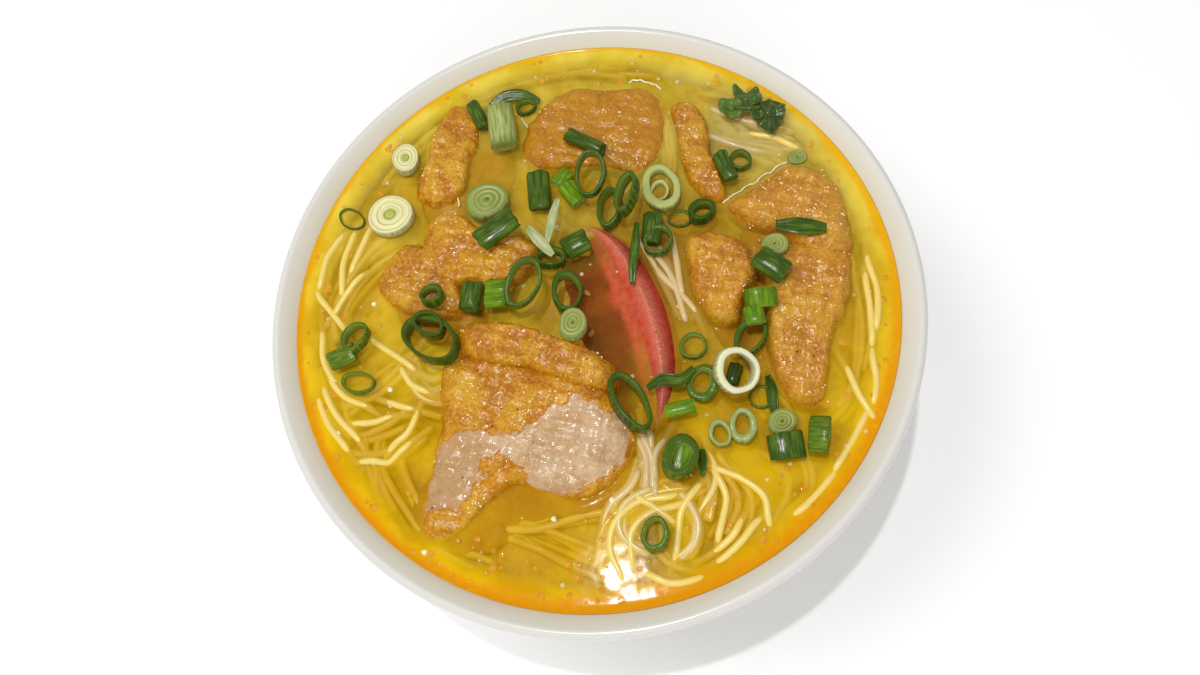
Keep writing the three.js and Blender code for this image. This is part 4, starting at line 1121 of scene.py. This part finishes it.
SCALLIONS = {
    "scallion_white_slice": ["white", stalk_slice(-65, 30, 14.8, 14, 3.4, 35)],
    "scallion_cream_slice": ["white", stalk_slice(-61.7, 50, 10, 8.5, 4, 90, 12, -20)],
    "scallion_left_ring_and_leaf": ["mid", ring(-72, -12, 10, 8, 3.6, 1.1, 60, 8, 120),
                                    lying(-75.5, -18, 8.5, 6.5, 2.6, 25, 3)],
    "scallion_left_thin_ring": ["mid", ring(-70, -26, 10.6, 7, 2, 0.8, -12)],
    "scallion_left_small_ring": ["mid", ring(-47.8, -0.1, 7.2, 6.8, 3.8, 1.1, 0, 12, 100)],
    "scallion_left_long_loops": [
        "dark", ring(-47.5, -13.6, 21, 13.5, 4.4, 1.2, -40, 14, 140), ring(-48.5, -9, 11, 7.5, 4.6, 1, -30)],
    "scallion_centre_dark_tube": ["dark", lying(-36.5, 0.5, 9, 6.6, 4.4, 84)],
    "scallion_centre_pair": ["bright", lying(-28.8, 3.2, 6.6, 5.6, 3.2, 5, 2),
                             lying(-28.8, -1, 6.6, 4.6, 3, 2, 2)],
    "scallion_centre_dark_ring": ["dark", ring(-19.8, 3, 16, 10.6, 4.6, 1.4, 68, 14, -40)],
    "scallion_centre_small_ring": ["dark", ring(-12.3, 13.5, 9.4, 6.8, 3.4, 1.1, 5, 10, 60)],
    "scallion_centre_ring": ["dark", ring(-7, 1.8, 13, 9.6, 4.4, 1.3, 100, 8, 20)],
    "scallion_centre_green_slice": ["pale", stalk_slice(-4.5, -10, 10.4, 8.8, 3, 80, 6, 90)],
    "scallion_back_block": ["dark", lying(-17, 37, 12.5, 7.6, 4.2, 96)],
    "scallion_white_shreds": [
        "white", strip([(-10.6, 33, 0), (-12, 26, 0.6), (-13.6, 17.4, 0)], 3, 10),
        strip([(-20, 23.5, 0.2), (-16, 18.5, 0.4), (-11.5, 13.5, 0)], 3.6, 5)],
    "scallion_back_bright_pair": ["bright", lying(-9.6, 41.6, 6, 5.4, 3.4, 52, 2),
                                  lying(-6.2, 36, 7.6, 6.4, 4, 125, 2)],
    "scallion_tomato_block": ["dark", lying(-4.5, 17.7, 8, 8, 4.2, 28)],
    "scallion_pale_disc": ["pale", stalk_slice(-33.5, 33.5, 14, 13, 3.6, 20, 8, 60)],
    "scallion_left_dark_tube": ["dark", lying(-28.8, 21.4, 13.5, 7.6, 4, 38, 2)],
    "scallion_stalk": ["pale", stalk_slice(-29.9, 60, 9.2, 7.4, 13.8, 8, 80, 98)],
    "scallion_back_left_tube": ["dark", lying(-38.6, 66.1, 10, 4.8, 3.8, 118)],
    "scallion_back_leaf_and_ring": [
        "dark", strip([(-35, 70.5, 0), (-30, 73.5, 0.6), (-24, 73.7, 0.5), (-18.5, 71.5, 0)], 4.2, 15),
        ring(-23, 69.5, 7.2, 5.6, 2, 0.9, 10)],
    "scallion_back_long_tube": ["dark", lying(-2.6, 53.3, 13.4, 5, 3.8, 152, 2)],
    "scallion_back_loop": ["dark", ring(0, 39.8, 15, 9.6, 4.4, 1.2, 80, 14, 270)],
    "scallion_middle_left_ring": ["dark", ring(5.8, 29.8, 13.4, 8, 4.4, 1.2, 82, 8, 180)],
    "scallion_middle_long_ring": ["dark", ring(11.4, 31.8, 14.8, 6.4, 4.4, 1.2, 76, 20, 170)],
    "scallion_big_pale_curl": ["pale", ring(21.8, 37.2, 15.8, 12.2, 3, 2.4, 100)],
    "scallion_middle_block_and_ring": [
        "dark", ring(20.8, 18.6, 9.8, 9.2, 3.4, 1.1, 60), lying(18.8, 23, 9.6, 6.2, 3.8, 86)],
    "scallion_middle_right_ring": ["dark", ring(34.4, 28.2, 8.8, 7.8, 3.6, 1.5, 30, 10, 90)],
    "scallion_hanging_leaf": ["dark", strip([(14.4, 24, 0.4), (14, 17, 1), (13.2, 10, 1), (13, 3.5, 0)], 3,
                                            10)],
    "scallion_right_back_ring": ["mid", ring(46.9, 46.2, 7.2, 6.8, 2.8, 1, 20)],
    "scallion_right_back_tube": ["dark", lying(42, 43, 9.6, 5, 3.8, 112)],
    "scallion_right_leaf": ["dark", strip([(56.5, 21, 0), (60.5, 20.6, 0.4), (65, 20, 0.5),
                                           (71.5, 19.5, 0)], 5.6, 0)],
    "scallion_right_pale_slice": ["pale", stalk_slice(56, 14.6, 8.2, 7, 2.4, 10, 6, 200)],
    "scallion_right_dark_block": ["dark", lying(54.5, 7, 10, 7.8, 4.2, 142, 2)],
    "scallion_right_loop": ["dark", ring(47.8, -14, 13, 8.6, 3.8, 1.2, 62, 8, 160)],
    "scallion_right_bright_tubes": ["bright", lying(51, -3, 5.6, 9.4, 4.6, 96, 14),
                                    lying(49, -8.4, 5.4, 6, 3.4, 100, 2)],
    "scallion_middle_thin_ring": ["mid", ring(31, -15.7, 8.4, 7.9, 2, 0.9, 70)],
    "scallion_front_green_ring": ["mid", ring(33.6, -27.6, 11.5, 9.2, 3.4, 2.2, 75)],
    "scallion_right_grey_leaf": [
        "dark", strip([(52.6, -25, 0), (53.4, -29, 0.6), (53.8, -34, 0.4), (54.4, -37.5, 0)], 3.4, 20)],
    "scallion_big_white_ring": ["white", ring(43, -25.4, 13.8, 12.4, 5.2, 1.8, 105, 22, -50)],
    "scallion_front_long_loop": ["dark", ring(12.5, -34, 19.2, 9.6, 4.6, 1.3, -58, 12, 30)],
    "scallion_front_leaf_arc": [
        "dark", strip([(17.6, -29.5, 0), (22, -27, 0.6), (27, -27.4, 0.6), (31, -23.6, 0)], 3.8, 20)],
    "scallion_front_small_tube": ["bright", lying(27, -35.4, 8.4, 4.4, 3, 12, 2)],
    "scallion_front_pale_rings": ["pale", ring(44.8, -40.4, 10, 8.2, 3.2, 1.9, 85),
        ring(38.2, -42.6, 8.2, 6.4, 3.2, 1.2, 100)],
    "scallion_front_right_tube": ["dark", lying(56.6, -46.4, 7.4, 10, 4.2, 98)],
    "scallion_front_white_end_tube": ["mid", lying(66, -43.4, 5.4, 11.2, 5.4, -8, 16)],
    "scallion_front_green_stack": ["mid", ring(26.8, -49.6, 13.4, 9.8, 4.2, 2.8, 72, 10, 40)],
    "scallion_front_ring": ["mid", ring(19.7, -71.2, 9.4, 8, 3.4, 1.5, 80)],
}

# Smaller pieces that the solids leave out: their finish, the height of their lowest point, and their shape.
SMALL_PIECES = {
    "scallion_front_dark_sliver": ["dark", 64.0, strip([(33.2, -46.8, 0), (33.2, -50.4, 0.2),
                                                        (33.0, -54.4, 0)], 2.6, 20)],
    "scallion_back_pale_disc": ["pale", 62.6, stalk_slice(64.9, 47.5, 6.4, 5.2, 1.4, 20)],
    "scallion_left_thin_curl": ["mid", 63.1, ring(-78.7, 30.3, 9.6, 6.6, 1.2, 0.5, -30)],
    "scallion_right_pale_stack": ["pale", 63.0, stalk_slice(56, -38.9, 8.6, 7.4, 2.0, 30)],
    "scallion_right_thin_ring": ["mid", 63.1, ring(50.5, -31.5, 7.6, 6.4, 1.4, 0.6, 40)],
    "scallion_front_stack_core": ["bright", 64.2, lying(26.6, -49.6, 10, 6.6, 3.2, 78, 3)],
    "scallion_white_ring_core": ["dark", 63.2, lying(42.8, -24.6, 6.4, 4.2, 2.6, 74, 3)],
    "scallion_curl_core": ["pale", 63.1, ring(21.2, 36.6, 7.8, 6, 2.2, 1, 80)],
    "scallion_middle_small_ring": ["mid", 63.1, ring(27.6, 27.0, 7.4, 6.0, 1.4, 0.6, 10)],
}


def make_scallions():
    leaf = {finish: leaf_look(finish) for finish in LEAF_TONES}
    cut = {finish: slice_look(finish) for finish in SLICE_TONES}

    def build(name, finish, pieces, lowest, replaces):
        shape = Shape()
        tint = draw.uniform(0, 1)
        for points, faces, values, _ in pieces:
            shape.add(points, faces, tint=tint, **values)
        material = cut[finish] if pieces[0][3] == "slice" else leaf[finish]
        lift = lowest - shape.all_points()[:, 2].min()
        shape.make(name, material, "scallion_" + finish, replaces, lift)

    for name, (finish, *pieces) in SCALLIONS.items():
        build(name + "_cut", finish, pieces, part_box(name)[0].z / MM, [name])
    for name, (finish, lowest, *pieces) in SMALL_PIECES.items():
        build(name, finish, pieces, lowest, ())


# Herb

LEAFLETS = [
    [(40.5, 67.5), (42, 62.5), (47, 61.5), (48.5, 66), (45, 69)],
    [(45.5, 73.5), (46.5, 67.5), (51, 65.5), (54.5, 68), (53, 72.5), (50, 71)],
    [(51, 65), (52, 60), (55, 57), (57, 54.5), (59, 57.5), (61, 61), (61.5, 66), (56, 67.5)],
]


def make_herb():
    shape = Shape()
    sides, steps = 72, 14
    for number, outline in enumerate(LEAFLETS):
        rim = spline(outline, sides, closed=True)
        centre = rim.mean(axis=0)
        angle = angles(sides)
        teeth = 1 + 0.05 * np.abs(np.sin(angle * 7)) - 0.03
        shares = np.linspace(1, 0.02, steps)
        flat = centre + shares[:, None, None] * ((rim - centre) * teeth[:, None])[None]
        flat = flat.reshape(-1, 2)
        wave = 0.5 * np.sin(flat[:, 0] * 1.1 + number) + 0.4 * np.cos(flat[:, 1] * 1.3 - number)
        points = np.column_stack([flat, wave])
        points[:, 2] += 0.5 * grain(points, 2.6, 2, number + 40)
        share = np.repeat(shares, sides)
        vein = np.maximum(np.cos(np.tile(angle, steps) * 5) ** 8 * (share > 0.1), share < 0.08)
        upper = (points + [0, 0, 0.25]).reshape(steps, sides, 3)
        lower = points - [0, 0, 0.25]
        both = np.vstack([upper[::-1].reshape(-1, 3), lower])
        faces = ring_faces(2 * steps, sides)
        veins = vein.reshape(steps, sides)
        shape.add(both, faces, vein=np.r_[veins[::-1].ravel(), veins.ravel()],
                  light=(0.75, 0.35, 0)[number])
    stem = spline([(45.5, 65, 0.1), (50, 64.4, 0.5), (54, 64.8, 0.1)], 12)
    points, faces = tube(stem, 0.8, 10)
    shape.add(points, faces, vein=0.7)
    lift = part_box("herb_sprig")[0].z / MM - shape.all_points()[:, 2].min()
    shape.make("herb_leaves", herb_look(), "herb", ["herb_sprig"], lift)


# Loose bits

CRUMBS = 70
OIL_DROPS = 150
BUBBLES = 90


def surface_height(x, y):
    """The top of the fish cakes at a place, or None off them."""
    best = None
    for patties in FISH_CAKES.values():
        for settings in patties:
            outline = np.array(settings["outline"], float)
            centre = outline.mean(axis=0)
            if inside_share(np.array([[x, y]]), settings["outline"], 0.01)[0] < 0.5:
                continue
            slope = settings["slope"]
            top = settings["top"] + slope[0] * (x - centre[0]) + slope[1] * (y - centre[1])
            best = max(best or 0, top + settings["crag"] * float(crag_height(x, y)))
    return best


# Thin pale lines along the edge of the broth at the fish cakes, a painted highlight of the lamp's glint on
# the meniscus, and small pale clots in the broth.
GLINT_LINES = [
    [(41.1, 32.1), (44.3, 34.8), (46.8, 36.2), (48.8, 37.9), (51.3, 38.8), (53.6, 41.3), (56.4, 42.6),
     (58.7, 44.7), (61.9, 46)],
    [(10.9, 78.1), (13.6, 79.1), (16.6, 78.2), (19.6, 77.2), (22.2, 74.8)],
    [(-24.7, 66.1), (-22.9, 63.4), (-21.8, 61.4)],
    [(-44.8, 38.4), (-43.6, 36.1), (-43.5, 33.6)],
]
CLOTS = [(-68.4, 0.5), (-60.6, -27.5), (-75.3, -41.1), (-9.1, -66.6), (7.3, -61.2), (-46, -76)]

# A pale curl of scallion under the broth: its layers.
SUNKEN_CURL = [
    [(-55.9, -19.7), (-55.2, -23.8), (-51.5, -27.1), (-46.8, -27.8), (-43.6, -25.6)],
    [(-52.8, -18.7), (-51.9, -22), (-48.6, -24.2), (-45, -23.3)],
    [(-49.7, -18.1), (-48.6, -20.4), (-45.8, -21.1)],
]


def make_glints_clots_and_curl():
    glints_and_clots, curl = Shape(), Shape()
    # Painted highlight: pale lines where the lamp glints on the broth's meniscus against the fish cakes.
    for line in GLINT_LINES:
        path = spline([(x, y, SOUP_LEVEL + 0.4) for x, y in line], 40)
        path += 0.35 * np.column_stack([grain(path, 1.2, 2, 61), grain(path, 1.2, 2, 62), np.zeros(40)])
        glints_and_clots.add(*tube(path, 0.3, 8))
    for x, y in CLOTS:
        glints_and_clots.add(*pip((x, y, SOUP_LEVEL), 0.9, 0.8, 0.5, draw.uniform(0, TURN), 10, 18))
    glints_and_clots.make("broth_painted_glints_and_clots", plain_look("glints_and_clots", (222, 206, 152), (240, 232, 200), 1.5, 0.15), "broth")
    for line in SUNKEN_CURL:
        points, faces, values, _ = strip(line, 2.4, 20)
        curl.add(points + [0, 0, SOUP_LEVEL - 0.7], faces, tint=0.5, **values)
    curl.make("scallion_sunken_curl", leaf_look("white"), "scallion_white")


def make_bits():
    crumbs, oil, bubbles = Shape(), Shape(), Shape()
    while len(crumbs.points) < CRUMBS:
        angle, radius = draw.uniform(0, TURN), 90 * math.sqrt(draw.random())
        x, y = radius * math.cos(angle), radius * math.sin(angle)
        if surface_height(x, y) is None:
            size = draw.uniform(0.3, 0.9)
            crumbs.add(*pip((x, y, SOUP_LEVEL + 0.1), size, size * 0.8, size * 0.5, draw.uniform(0, TURN)))
    for _ in range(OIL_DROPS):
        angle = draw.uniform(0, TURN)
        radius = 91 - abs(draw.gauss(0, 9))
        size = draw.uniform(0.35, 1.3)
        spot = (radius * math.cos(angle), radius * math.sin(angle), SOUP_LEVEL + 0.02)
        oil.add(*pip(spot, size, size, 0.14, 0, 6, 20))
    for _ in range(BUBBLES):
        angle, radius = draw.uniform(0, TURN), 90 * math.sqrt(draw.random())
        size = draw.uniform(0.25, 0.7)
        spot = (radius * math.cos(angle), radius * math.sin(angle), SOUP_LEVEL + 0.05)
        bubbles.add(*pip(spot, size, size, size * 0.7, 0, 8, 16))
    crumbs.make("fried_crumbs", plain_look("crumb", (196, 130, 44), (226, 176, 90), 0.5, 0.3,
                                           Coat_Weight=0.5),
                "fish_cake")
    oil.make("oil_drops", plain_look("oil", (228, 150, 30), (240, 178, 50), 2, 0.05, Alpha=0.55), "broth")
    bubbles.make("broth_bubbles", plain_look("bubble", (244, 236, 200), (250, 246, 226), 2, 0.04,
                                             Alpha=0.4), "broth")


# Floor, lights and camera

CAMERA_SPOT = Vector((0.0309, -0.1102, 0.3317))
CAMERA_LINE = Vector((-0.097, 0.3422, -0.9346)).normalized()
CAMERA_UP = Vector((0.0171, 0.9395, 0.3422))
CAMERA_LENS = 28.5


def make_floor():
    mesh = bpy.data.meshes.new("floor")
    half = 3.0
    mesh.from_pydata([(-half, -half, 0), (half, -half, 0), (half, half, 0), (-half, half, 0)], [],
                     [(0, 1, 2, 3)])
    floor = bpy.data.objects.new("floor", mesh)
    bpy.context.scene.collection.objects.link(floor)
    n = Nodes("floor", Roughness=0.9)
    n.set("Base Color", n.mix(n.noise(n.place(), 400), rgb(250, 250, 250), rgb(253, 253, 253)))
    n.shader.inputs["Specular IOR Level"].default_value = 0.0
    mesh.materials.append(n.material)


def make_light(name, spot, aim, size, power, mirrored=False):
    """A round lamp. Only a mirrored one shows up as a glint on wet things."""
    data = bpy.data.lights.new(name, "AREA")
    data.shape = "DISK"
    data.size = size
    data.energy = power
    light = bpy.data.objects.new(name, data)
    bpy.context.scene.collection.objects.link(light)
    light.location = spot
    light.rotation_euler = (Vector(aim) - Vector(spot)).to_track_quat("-Z", "Y").to_euler()
    light.visible_glossy = mirrored


def make_world():
    world = bpy.data.worlds.new("studio")
    world.use_nodes = True
    background = world.node_tree.nodes["Background"]
    background.inputs["Color"].default_value = (1.0, 0.99, 0.97, 1)
    background.inputs["Strength"].default_value = 0.4
    bpy.context.scene.world = world
    bpy.context.scene.view_settings.view_transform = "Standard"


def make_lights():
    middle = (0, 0, 0.05)
    make_light("flash", (-0.064, 0.027, 1.06), middle, 0.03, 3.1, mirrored=True)
    make_light("window", (-0.7, 0.14, 1.15), middle, 0.8, 7.0)
    make_light("fill", (0.2, -1.0, 0.75), middle, 0.8, 5.4)


def make_camera():
    data = bpy.data.cameras.new("camera")
    data.lens = CAMERA_LENS
    data.sensor_width = 36
    data.clip_start = 0.01
    camera = bpy.data.objects.new("camera", data)
    bpy.context.scene.collection.objects.link(camera)
    right = CAMERA_LINE.cross(CAMERA_UP).normalized()
    up = right.cross(CAMERA_LINE).normalized()
    matrix = Matrix((right, up, -CAMERA_LINE)).transposed().to_4x4()
    matrix.translation = CAMERA_SPOT
    camera.matrix_world = matrix
    bpy.context.scene.camera = camera


make_bowl()
make_broth()
make_noodles()
make_cakes()
make_tomato()
make_herb()
make_scallions()
make_bits()
make_glints_clots_and_curl()
make_floor()
make_world()
make_lights()
make_camera()
